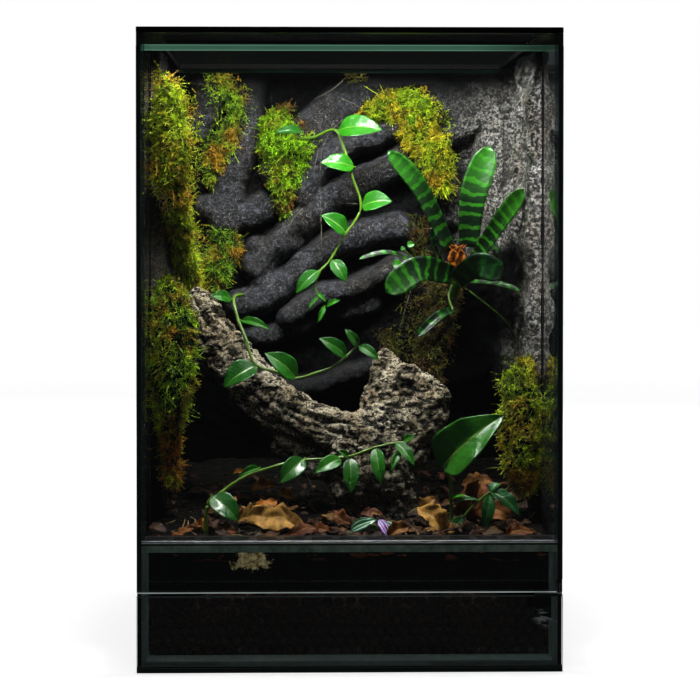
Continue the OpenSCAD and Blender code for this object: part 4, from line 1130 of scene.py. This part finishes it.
# Cork: each run's x, depth behind the bed's front, height over the soil, and radius
CORK = [
    [(38, 108, -6, 40), (32, 106, 30, 43), (26, 104, 66, 40), (24, 106, 94, 30)],
    [(24, 108, 90, 24), (4, 110, 96, 22), (-22, 114, 102, 24), (-52, 122, 112, 26),
     (-84, 134, 134, 26), (-110, 150, 164, 25), (-134, 162, 197, 22), (-152, 172, 226, 15)],
    [(30, 112, 90, 26), (42, 122, 128, 23), (46, 127, 152, 18), (45, 130, 166, 13)],
    [(54, 116, 80, 32), (76, 124, 112, 28), (94, 130, 130, 16)],
    [(46, 127, 150, 18), (70, 128, 146, 18), (94, 130, 130, 15)],
    [(-60, 118, 84, 14), (-30, 110, 66, 14), (0, 106, 60, 16)],
]


def skin_over(mesh, voxel):
    """One closed, evenly divided skin over a mesh, as points, faces and normals."""
    obj = in_scene("form", mesh)
    skin = obj.modifiers.new("skin", "REMESH")
    skin.mode, skin.voxel_size = "VOXEL", voxel * MM
    shown = obj.evaluated_get(bpy.context.evaluated_depsgraph_get())
    done = bpy.data.meshes.new_from_object(shown)
    bpy.data.objects.remove(obj)
    points, normals = np.empty(len(done.vertices) * 3), np.empty(len(done.vertices) * 3)
    done.vertices.foreach_get("co", points)
    done.vertices.foreach_get("normal", normals)
    corners = np.empty(len(done.loops), np.int32)
    done.loops.foreach_get("vertex_index", corners)
    return points.reshape(-1, 3) / MM, corners.reshape(-1, 4), normals.reshape(-1, 3)


def bark_depth(points, grain):
    """How far the bark stands out at each point, and how much of that is its broad lumps."""
    plates = creased(grain * [0.30, 1, 1], 12, 101)
    cracks = creased(grain * [1.25, 0.4, 0.4], 8, 111, 2)
    fibres = creased(grain * [0.4, 1, 1], 4.2, 121, 2)
    dashes = creased(points * [0.4, 0.5, 1], 6.5, 151, 2)
    broad = 3.0 * layered(points, 26, 131, 2)
    depth = 6.5 * (np.clip(plates, 0, 0.7) - 0.40) + 3.6 * (np.clip(cracks, 0, 0.6) - 0.36)
    depth = depth + 2.6 * (np.clip(fibres, 0, 0.7) - 0.36) + broad
    return depth + 2.4 * (np.clip(dashes, 0, 0.5) - 0.3), broad


def cork():
    """The forked piece of cork bark."""
    lumps = Heap()
    lines = []
    for run in CORK:
        path = smooth_path([(x, y + BED_Y, z + SOIL_Z, r) for x, y, z, r in run], 10 * len(run))
        lines.append(path[:, :3])
        for *centre, r in path:
            lumps.grid(centre + ball(np.zeros(3), r, 1.0, 8, 12) * [1, 0.6, 1])
    points, faces, normals = skin_over(lumps.mesh("cork_form"), 1.5)
    # Grain follows the nearest run: s along it, and two offsets across it
    slopes = [np.gradient(line, axis=0) for line in lines]
    centres, runs = np.vstack(lines), np.vstack([unit(slope) for slope in slopes])
    along = np.concatenate(
        [300 * i + np.cumsum(np.linalg.norm(slope, axis=1)) for i, slope in enumerate(slopes)])
    near = np.concatenate([np.argmin(((part[:, None] - centres) ** 2).sum(-1), 1)
                           for part in np.array_split(points, 24)])
    off = points - centres[near]
    s = along[near] + (off * runs[near]).sum(-1)
    side = unit(np.cross(runs[near], [0, 1, 0]))
    depth, broad = bark_depth(points, np.stack([s, (off * side).sum(-1), off[:, 1] * 0.8], -1))
    heap = Heap()
    # Painted shade: tone is low in the deep cracks and tip is low on undersides, and the bark look
    # darkens both.
    heap.add(points + normals * depth[:, None], faces,
             tone=np.clip(0.44 + 0.14 * (depth - broad), 0, 1),
             tip=np.clip(0.62 + 0.75 * normals[:, 2], 0.1, 1))
    heap.build("cork_branch", "cork", "cork_bark", "bark")


# Moss
LIME, OLIVE, FOREST = srgb(208, 236, 26), srgb(96, 132, 22), srgb(22, 52, 14)
GOLD, RUST = srgb(226, 172, 44), srgb(172, 120, 46)
MOSSES = {
    # node: shoots, length, young, old, dead, share of dead shoots, droop, slot
    "moss_upper_left": (9900, 7.0, LIME, srgb(128, 156, 20), GOLD, 0.7, 0.3, "moss_yellow"),
    "moss_dark": (7200, 7.5, srgb(176, 220, 44), srgb(46, 84, 20), GOLD, 0.5, 0.35, "moss_dark"),
    "moss_centre": (6300, 7.0, srgb(190, 255, 26), OLIVE, RUST, 0.6, 0.3, "moss_green"),
    "moss_grass": (4500, 8.0, srgb(150, 210, 34), FOREST, GOLD, 0.8, 0.4, "moss_green"),
    "moss_arch": (
        8100, 7.0, srgb(220, 250, 34), OLIVE, srgb(246, 204, 44), 0.65, 0.3, "moss_yellow"),
    "moss_lower_left": (
        9900, 6.5, srgb(196, 250, 30), FOREST, srgb(206, 136, 36), 0.6, 0.35, "moss_green"),
    "moss_right": (
        9000, 6.5, srgb(204, 240, 32), FOREST, srgb(236, 184, 50), 0.6, 0.3, "moss_green"),
    "moss_bromeliad": (
        4500, 8.0, srgb(120, 124, 34), srgb(40, 34, 14), srgb(128, 84, 34), 0.9, 0.5, "moss_brown"),
}
STRAYS = {
    # moss on the rock round a node: outline in the photograph, and shoots
    "moss_upper_left": [([(176, 84), (198, 92), (204, 150), (196, 204), (180, 200)], 500)],
    "moss_dark": [
        ([(200, 70), (226, 60), (246, 84), (246, 118), (236, 150), (206, 166), (196, 152),
          (214, 118), (204, 84)], 900),
    ],
    "moss_centre": [
        ([(262, 122), (288, 99), (302, 118), (318, 140), (306, 178), (288, 206), (272, 192),
          (260, 165)], 900),
    ],
    "moss_grass": [([(196, 226), (222, 232), (238, 262), (216, 292), (192, 290)], 500)],
    "moss_arch": [
        ([(356, 112), (388, 88), (424, 84), (440, 104), (458, 120), (448, 144), (446, 182),
          (420, 160), (404, 130)], 900),
    ],
    "moss_bromeliad": [
        ([(404, 284), (420, 288), (436, 340), (446, 376), (424, 380), (400, 350)], 360),
        ([(372, 330), (392, 326), (404, 346), (392, 356)], 260),
        ([(406, 212), (428, 214), (430, 258), (412, 262)], 420),
        ([(344, 68), (362, 66), (368, 80), (350, 84)], 160),
    ],
}
# Where a moss has withered, and where it gives way to bare rock, dark with painted shade near the
# top: circles in the photograph
WITHERED = {
    "moss_upper_left": [
        (192, 110, 9), (152, 164, 13), (176, 188, 11), (188, 142, 9), (206, 262, 9)],
    "moss_dark": [(238, 74, 9), (222, 156, 16), (232, 134, 9)],
    "moss_centre": [(286, 102, 13), (266, 178, 12), (288, 196, 16), (304, 122, 8)],
    "moss_grass": [(200, 274, 11), (232, 250, 9)],
    "moss_arch": [(394, 98, 8), (428, 134, 8), (438, 176, 13), (362, 112, 9)],
    "moss_lower_left": [(176, 450, 40), (146, 290, 9), (172, 330, 9)],
    "moss_right": [(546, 378, 10), (520, 402, 8), (520, 476, 18)],
}
BARE_SPOTS = {
    "moss_upper_left": [
        (148, 206, 30), (152, 242, 32), (156, 278, 32), (146, 68, 20), (166, 62, 16),
        (182, 60, 14)],
    "moss_lower_left": [(146, 440, 22), (150, 480, 16)],
}
# Shoots grow in tufts. Each has a stem of five points and some leaflets
TUFT = 9
STEM_TAPER = np.array([1.0, 0.95, 0.85, 0.6, 0.15])
LEAFLETS = 4
SHOOT_WIDTH = 1.15


def leaflets(heap, roots, way, curl, side, long, tone, kind, draw):
    """Small pointed leaves on both sides of the shoots."""
    n = len(roots)
    faces = np.arange(n)[:, None] * 4 + np.arange(4)
    for k in range(LEAFLETS):
        t = (k + 1.2) / (LEAFLETS + 0.8)
        root = roots + (way * t + curl * t * t) * long
        lean = side * (1 if k % 2 else -1) + way * 0.8 + curl * t * 1.5
        out = unit(lean + draw.normal(0, 0.4, (n, 3)))
        thin = unit(np.cross(out, way)) * SHOOT_WIDTH * 0.6
        reach = long * 0.30 * (1.15 - 0.6 * t)
        middle, end = root + out * reach * 0.5, root + out * reach
        fan = np.stack([root, middle + thin, end, middle - thin], 1)
        shade = np.tile([0.5 * t + 0.3, 0.45 + 0.5 * t, 0.55 + 0.45 * t, 0.45 + 0.5 * t], n)
        own = np.clip(tone + draw.normal(0, 0.15, n), 0, 1)
        heap.add(fan, faces, tone=np.repeat(own, 4), dry=np.repeat(kind, 4), tip=shade)


def sprigs(heap, roots, ways, length, draw, hang, dry, tufts):
    """Moss shoots: a bent stem strip with small leaflets on both sides of it."""
    n = len(roots)
    way = unit(unit(ways) * 0.8 + draw.normal(0, 0.62, (n, 3)) + np.array([0, -0.15, 0.1]))
    curl = draw.normal(0, 0.45, (n, 3)) + np.array([0, 0, -1.0]) * hang
    side = unit(np.cross(way, draw.normal(0, 1, (n, 3))))
    long = length * draw.uniform(0.45, 1.0, n)[:, None]
    long = long * np.where(draw.random(n) < 0.12, 1.7, 1.0)[:, None]
    steps = np.linspace(0, 1, 5)[:, None]
    line = roots[:, None] + (way[:, None] * steps + curl[:, None] * steps**2) * long[:, None]
    tone = np.clip(tufts + draw.normal(0, 0.16, n), 0, 1)
    kind = np.clip(dry + draw.normal(0, 0.3, n), 0, 2)
    half = side[:, None] * (STEM_TAPER[None, :, None] * SHOOT_WIDTH / 2)
    quads = np.array([[0, 1, 3, 2], [2, 3, 5, 4], [4, 5, 7, 6], [6, 7, 9, 8]])
    faces = (np.arange(n)[:, None, None] * 10 + quads).reshape(-1, 4)
    tips = np.broadcast_to(steps[None], (n, 5, 2)).reshape(-1)
    # Painted shade: tip rises from 0.3 at each shoot's root to 1 at its end, and the moss look
    # darkens the roots.
    heap.add(np.stack([line - half, line + half], 2), faces,
             tone=np.repeat(tone, 10), dry=np.repeat(kind, 10), tip=0.3 + 0.7 * tips)
    leaflets(heap, roots, way, curl, side, long, tone, kind, draw)


def on_rock(outline, count, draw):
    """Random points of the background inside an outline of photograph points, and its normals."""
    ring = np.array(outline, float)
    ends = np.roll(ring, -1, 0)
    found = []
    while len(found) < count:
        px, py = draw.uniform(ring.min(0), ring.max(0))
        crossed = (ring[:, 1] > py) != (ends[:, 1] > py)
        with np.errstate(divide="ignore", invalid="ignore"):
            share = (ends[:, 0] - ring[:, 0]) * (py - ring[:, 1]) / (ends[:, 1] - ring[:, 1])
        if (crossed & (px < share + ring[:, 0])).sum() % 2:
            found.append(at(px, py, BACK_FACE_Y - 14))
    spots = np.array(found)
    spots[:, 1] = rock_face(spots[:, 0], spots[:, 2], 1.0)
    return spots, np.tile([0.0, -1.0, 0.0], (count, 1))


def moss(number, name, count, length, young, old, dead, dry, hang, slot):
    """One mass of moss: its felt, and the shoots that stand on it and stray round it."""
    draw = np.random.default_rng(200 + number)
    LOOKS[name] = moss_look(name + "_fibre", young, old, dead)
    LOOKS[name + "_mat"] = mat_look(name + "_mat", old)
    bare_spots = BARE_SPOTS.get(name, [])
    points, faces, normals = skin_over(nodes[name].data.copy(), 3.0)
    depth = 3.6 * layered(points, 12, 150 + number, 2) - 1.8
    points = points + normals * depth[:, None]
    heap = Heap()
    heap.add(points, faces, 1, tip=1 - within(points, bare_spots))
    pick = np.repeat(draw.integers(0, len(points), count // TUFT), TUFT)
    scatter = draw.normal(0, 1.0, (len(pick), 3))
    spots = [(points[pick] + scatter - normals[pick], normals[pick])]
    for outline, more in STRAYS.get(name, []):
        spots.append(on_rock(outline, more, draw))
    roots, ways = (np.vstack(part) for part in zip(*spots))
    tufts = np.repeat(draw.random(len(roots) // TUFT + 1), TUFT)[: len(roots)]
    grown = draw.random(len(roots)) > 0.97 * within(roots, bare_spots)
    keep = (ways[:, 1] < 0.5) & (np.abs(roots[:, 0]) < WALL_X - 2) & grown
    roots, ways, tufts = roots[keep], ways[keep], tufts[keep]
    withered = dry + within(roots, WITHERED.get(name, []))
    sprigs(heap, roots, ways, length, draw, hang, withered, tufts)
    low = (-WALL_X + 0.5, FRONT_Y + 8, 0)
    high = (WALL_X - 0.5, BACK_FACE_Y + 2, ROOF_Z - 0.5)
    heap.points = [np.clip(np.vstack(heap.points), low, high)]
    heap.build(name + "_shoots", slot, name, name, name + "_mat")


# Climbers: the stem's points as px, py and depth, its radius at both ends, and the leaves by
# base, tip, width, tone, fold and turn of the face
CLIMBER_FACE = np.array([0.0, -1, 0.62])
CLIMBERS = {
    "upper_climber": ("upper_vine", [
        (300, 138, 122), (315, 136, 112), (335, 129, 100), (345, 150, 92), (350, 170, 88),
        (361, 202, 84), (355, 220, 80), (346, 232, 78), (330, 259, 74), (320, 270, 70),
        (315, 284, 66), (317, 292, 64),
    ], (1.6, 0.9), [
        ((338, 129, 100), (382, 129, 84), 29, 0.95, 0.25, -0.25),
        ((354, 166, 88), (321, 162, 78), 23, 1.0, 0.2, 0.2),
        ((362, 205, 84), (392, 200, 72), 26, 0.75, 0.3, 0.0),
        ((346, 232, 78), (321, 214, 70), 24, 0.55, 0.35, 0.2),
        ((318, 270, 70), (296, 292, 62), 17, 0.5, 0.4, 0.0),
        ((332, 259, 74), (346, 281, 66), 17, 0.5, 0.3, 0.0),
        ((302, 131, 118), (275, 132, 108), 12, 0.35, 0.45, 0.3),
        ((327, 305, 60), (340, 299, 56), 8, 1.0, 0.5, 0.0),
        ((324, 305, 60), (318, 321, 54), 7, 1.0, 0.6, 0.3),
        ((317, 292, 64), (326, 301, 58), 6, 1.0, 0.6, 0.0),
        ((318, 296, 62), (309, 307, 56), 5, 1.0, 0.6, 0.0),
    ]),
    "middle_climber": ("middle_vine", [
        (243, 293, 14), (234, 297, -2), (238, 317, -20), (245, 335, -34), (255, 362, -48),
        (278, 371, -54), (296, 377, -58), (321, 370, -58), (332, 366, -56), (344, 357, -50),
        (356, 346, -44),
    ], (1.6, 1.0), [
        ((231, 298, -4), (211, 295, -16), 14, 0.75, 0.3, 0.3),
        ((241, 319, -22), (270, 328, -32), 11, 0.8, 0.5, 0.0),
        ((257, 365, -50), (224, 386, -60), 28, 0.25, 0.4, -0.3),
        ((296, 377, -58), (265, 352, -66), 25, 0.45, 0.3, 0.2),
        ((346, 355, -50), (319, 337, -58), 17, 0.35, 0.3, 0.0),
        ((358, 345, -44), (345, 328, -48), 11, 0.35, 0.3, 0.0),
        ((359, 345, -44), (379, 359, -52), 12, 0.35, 0.35, 0.0),
    ]),
    "lower_climber": ("lower_vine", [
        (206, 541, -129), (206, 514, -129), (210, 499, -127), (219, 493, -125), (231, 484, -122),
        (248, 474, -118), (279, 464, -114), (305, 459, -112), (346, 456, -111), (368, 449, -110),
        (377, 446, -110), (391, 443, -107), (405, 441, -105),
    ], (1.8, 1.0), [
        ((212, 495, -127), (238, 520, -138), 25, 0.25, 0.25, 0.2),
        ((259, 467, -116), (239, 475, -124), 10, 0.85, 0.8, 0.0),
        ((304, 458, -112), (279, 482, -126), 21, 0.4, 0.35, 0.2),
        ((341, 458, -112), (315, 472, -124), 16, 0.7, 0.3, 0.0),
        ((348, 456, -112), (338, 450, -118), 8, 0.75, 0.4, 0.0),
        ((350, 457, -111), (350, 493, -124), 17, 0.35, 0.3, 0.2),
        ((376, 447, -110), (382, 484, -124), 15, 0.6, 0.35, -0.2),
        ((396, 442, -107), (415, 465, -120), 13, 0.45, 0.35, 0.2),
        ((404, 441, -106), (415, 435, -114), 9, 0.6, 0.3, 0.0),
        ((400, 450, -108), (391, 470, -118), 8, 0.65, 0.4, 0.0),
    ]),
}


def climber(name, node, stem, radii, leaves):
    """A climber: its knotted stem, and leaves on short stalks."""
    heap = Heap()
    line = smooth_path(lift(stem), 8 * len(stem))
    knots = np.abs(np.sin(np.linspace(0, len(stem) * math.pi, len(line)))) ** 12
    heap.tube(line, np.linspace(*radii, len(line)) * (1 + 0.35 * knots), 8, 1, tone=0.6)
    for base, tip, wide, tone, fold, turn in leaves:
        a, b = lift([base, tip])
        leaf(heap, a, b, wide, CLIMBER_FACE + np.array([turn, 0, 0]), 0.12, fold, tone, ripple=0.02)
        stalk = [a - (b - a) * 0.05 + [0, 1.0, 0], a, a + (b - a) * 0.04]
        heap.tube(stalk, [1.0, 0.9, 0.6], 6, 1, tone=0.6)
    thicken(heap.build(name, "vine_leaf", node, "vine", "stem"), 0.5, 1)


# Bromeliad: each leaf's base, bend and tip as px, py and depth, then width, fold, face and tone
BLADES = [
    ((450, 250, 30), (420, 188, 10), (388, 150, -2), 21, 0.3, (0.1, -1, 0.3), 0.6),
    ((468, 246, 34), (473, 195, 26), (490, 145, 30), 30, 0.30, (0.1, -1, 0.5), 0.7),
    ((474, 262, 36), (499, 224, 2), (526, 188, -33), 22, 0.3, (-0.2, -1, 0.5), 0.9),
    ((452, 274, 34), (420, 268, 4), (386, 291, -10), 29, 0.18, (0, -1, 0.1), 0.7),
    ((466, 281, 30), (495, 283, 14), (520, 290, 6), 12, 0.35, (0.1, -0.5, 1), 0.5),
    ((442, 262, 32), (434, 245, 20), (431, 226, 14), 7, 0.4, (0.3, -1, 0.2), 0.3),
    ((414, 262, 24), (388, 252, 16), (359, 258, 10), 9, 0.4, (0, -0.6, 1), 0.8),
    ((453, 309, 22), (438, 316, 8), (417, 336, 0), 12, 0.5, (0, -1, 0.6), 0.4),
    ((456, 280, 28), (478, 264, 4), (503, 274, -4), 27, 0.15, (0, -1, -0.1), 0.0),
    ((487, 236, 26), (494, 246, 20), (502, 270, 12), 8, 0.3, (0.3, -1, 0.2), 0.5),
]
CUP = (456, 262, 38)
CUP_STALK = [(456, 284, 42), (452, 300, 62), (450, 312, 74)]
RUNNERS = [
    ([(470, 290, 40), (503, 317, 60), (514, 336, 80), (513, 351, 96), (505, 358, 110)], 0.6),
    ([(453, 309, 22), (449, 296, 30), (452, 284, 38)], 1.1),
    ([(414, 262, 24), (430, 266, 34), (446, 268, 40)], 1.2),
]
# Round leaves beside the cup: middle and size, all on a stalk to the same place
ROUND_LEAVES = [(411, 244, 8), (403, 248, 5), (398, 264, 11)]
ROUND_LEAVES_Y = 8
ROUND_STALK = [(420, 262, 28), (440, 268, 40)]


def strap_leaf(heap, base, bend, tip, wide, fold, face, tone):
    """A long banded leaf, bent along its run and hollow across."""
    a, m, b = lift([base, bend, tip])
    line = smooth_path([a, m, b], 23)
    run = unit(np.gradient(line, axis=0))
    side = unit(np.cross(run, unit(face)))
    up = np.cross(side, run)
    t, v = np.linspace(0, 1, len(line)), np.linspace(-1, 1, 9)
    half = (wide / 2 * half_width(STRAP, t, 1.05))[:, None]
    points = (line[:, None] + side[:, None] * (half * v * math.cos(fold))[..., None]
              + up[:, None] * (half * v**2 * math.sin(fold))[..., None])
    along = np.repeat(t, 9) * np.linalg.norm(b - a) / 90
    heap.grid(points, 0, along=along, across=np.tile(v, len(line)), tone=tone)


def bromeliad():
    """The banded bromeliad: strap leaves round an orange cup, with its runners."""
    heap = Heap()
    for parts in BLADES:
        strap_leaf(heap, *parts)
    centre = at(*CUP)
    for k in range(5):
        a = math.radians(72 * k + 20)
        out = np.array([math.cos(a), 0.6 * math.sin(a), 0])
        foot, top = centre + out * 4 - [0, 4, 6], centre + out * 12 + [0, -8, 20]
        leaf(heap, foot, top, 21, -out, 0.2, 0.5, 0.2 + 0.15 * k, 1, (10, 6))
    stalk = smooth_path([centre + [0, 0, -2], *lift(CUP_STALK)], 12)
    heap.tube(stalk, np.linspace(6, 3.4, 12), 10, 2, tone=0.3)
    for path, r in RUNNERS:
        heap.tube(smooth_path(lift(path), 20), r, 6, 2, tone=0.4)
    for px, py, size in ROUND_LEAVES:
        c = at(px, py, ROUND_LEAVES_Y)
        start, end = c - [size / 2, 0, 0], c + [size / 2, 0, 1]
        leaf(heap, start, end, size, (0, -1, 0.4), 0.05, 0.2, 1.0, 3)
        heap.tube(smooth_path([c, *lift(ROUND_STALK)], 8), 0.7, 5, 2, tone=0.8)
    thicken(heap.build("banded_bromeliad", "bromeliad_leaf", "bromeliad",
                       "banded", "cup", "stem", "vine"), 0.6)


# Low plants: node, looks of the leaves, slot, outline, stems with their radius, and the leaves
# by base, tip, width, tone, fold, face and look
LOW_PLANTS = {
    "folded_leaf_plant": ("big_leaf_plant", ["dark"], "dark_leaf", HEART, [
        ([(452, 526, -115), (452, 512, -116), (451, 496, -118), (451, 484, -119),
          (449, 474, -120), (444, 467, -120)], 1.5),
    ], [
        ((442, 467, -120), (504, 415, -124), 53, 0.2, 0.50, (-0.29, -0.88, 0.38), 0),
        ((452, 500, -117), (472, 498, -128), 7, 0.4, 0.5, (0, -0.4, 1), 0),
    ]),
    "trailing_plant": ("creeping_plant", ["low"], "dark_leaf", OVAL, [
        ([(468, 536, -114), (466, 522, -116), (463, 516, -118)], 1.1),
        ([(463, 517, -118), (476, 503, -118), (491, 491, -118)], 1.0),
    ], [
        ((463, 517, -118), (447, 537, -128), 12, 0.55, 0.3, (0, -1, 0.4), 0),
        ((490, 494, -118), (484, 529, -128), 14, 0.5, 0.3, (0.2, -1, 0.3), 0),
        ((491, 491, -118), (520, 515, -124), 18, 0.2, 0.35, (0.3, -0.8, 0.8), 0),
        ((479, 500, -118), (456, 503, -124), 6, 0.4, 0.5, (0, -0.5, 1), 0),
        ((491, 490, -118), (500, 483, -112), 10, 0.3, 0.3, (0, -0.5, 1), 0),
    ]),
    "striped_leaf_plant": ("striped_plant", ["striped", "purple"], "striped_leaf", OVAL, [
        ([(380, 541, -134), (378, 530, -136), (374, 524, -138)], 1.1),
    ], [
        ((351, 530, -142), (377, 519, -146), 13, 0.4, 0.3, (0.1, -0.9, 0.7), 0),
        ((379, 519, -140), (390, 538, -148), 10, 0.7, 0.3, (0.2, -1, 0.3), 1),
        ((386, 521, -138), (399, 540, -146), 10, 0.4, 0.35, (0.3, -1, 0.4), 0),
        ((356, 534, -138), (346, 540, -146), 9, 0.6, 0.3, (0, -1, 0.6), 0),
    ]),
}


def low_plant(name, node, looks, slot, outline, stems, leaves):
    """A small plant of the ground, its stems in the last of its looks."""
    heap = Heap()
    for path, r in stems:
        heap.tube(smooth_path(lift(path), 6 * len(path)), r, 8, len(looks), tone=0.2)
    for base, tip, wide, tone, fold, face, kind in leaves:
        a, b = lift([base, tip])
        leaf(heap, a, b, wide, face, 0.12, fold, tone, kind, (16, 10), outline=outline)
    thicken(heap.build(name, slot, node, *looks, "stem"), 0.6, 1)


# Thin roots in the air: points as px, py and depth, and radius
ROOTS = [
    ([(343, 118, 118), (330, 132, 104), (322, 150, 98), (320, 180, 94), (321, 214, 92),
      (322, 250, 92)], 0.35),
    ([(318, 150, 110), (315, 165, 106), (314, 176, 112)], 0.4),
    ([(337, 168, 92), (345, 182, 96), (352, 196, 104)], 0.3),
    ([(350, 180, 100), (338, 190, 106), (331, 196, 118)], 0.3),
    ([(315, 98, 136), (330, 90, 130), (343, 80, 134)], 0.5),
    ([(329, 204, 120), (342, 202, 112), (358, 203, 96)], 0.4),
    ([(284, 236, 130), (292, 220, 126), (302, 208, 132)], 0.4),
    ([(418, 268, 60), (408, 298, 52), (400, 326, 60)], 0.5),
    ([(303, 466, -100), (312, 486, -90), (314, 494, -84)], 0.5),
    ([(341, 98, 130), (352, 102, 126), (362, 108, 130)], 0.4),
]


def aerial_roots():
    """Thin roots that hang between the rolls and the branch."""
    heap = Heap()
    for path, r in ROOTS:
        heap.tube(smooth_path(lift(path), 24), r * 0.8, 5)
    heap.build("aerial_roots", "vine_leaf", None, "grey_root")


FLOOR_HALF = 6.0
FLOOR_DROP = 0.0005


def floor():
    """The pale floor. It is dark where it is seen through two panes."""
    look = Look("floor_pale")
    away = look.node("VectorMath", look.place, operation="LENGTH").outputs["Value"]
    tone = look.mix(look.noise(400, 3), (0.90, 0.90, 0.89), (0.93, 0.93, 0.925))
    fill = look.fade(look.math("DIVIDE", away, FLOOR_HALF), 0.1, 0.7, 0.72, 1.0)
    lit = look.out("AddShader", look.out("BsdfDiffuse", tone), look.out("Emission", fill))
    through = look.node("LightPath").outputs["Transparent Depth"]
    behind = look.math("GREATER_THAN", through, ONE_PANE)
    shade = look.out("BsdfDiffuse", (0.03, 0.035, 0.035))
    mesh = bpy.data.meshes.new("floor")
    corners = [(x * FLOOR_HALF, y * FLOOR_HALF, 0) for x, y in ((-1, -1), (1, -1), (1, 1), (-1, 1))]
    mesh.from_pydata(corners, [], [[0, 1, 2, 3]])
    mesh.materials.append(look.done(look.blend(behind, lit, shade)))
    obj = in_scene("floor", mesh)
    obj.location = (0, 0, -FLOOR_DROP)
    obj.visible_glossy = obj.visible_diffuse = False


# The whole scene
bpy.context.scene.view_settings.view_transform = "Standard"
add_camera()
lit_room()
case()
woven_mesh()
background()
cladding(-1, "brown_rock", "left_covering", "left_cladding")
cladding(1, "grey_rock", "right_covering", "right_cladding")
ground()
drainage()
cork()
for number, (name, parts) in enumerate(MOSSES.items()):
    moss(number, name, *parts)
for name, parts in CLIMBERS.items():
    climber(name, *parts)
bromeliad()
for name, parts in LOW_PLANTS.items():
    low_plant(name, *parts)
aerial_roots()
floor()
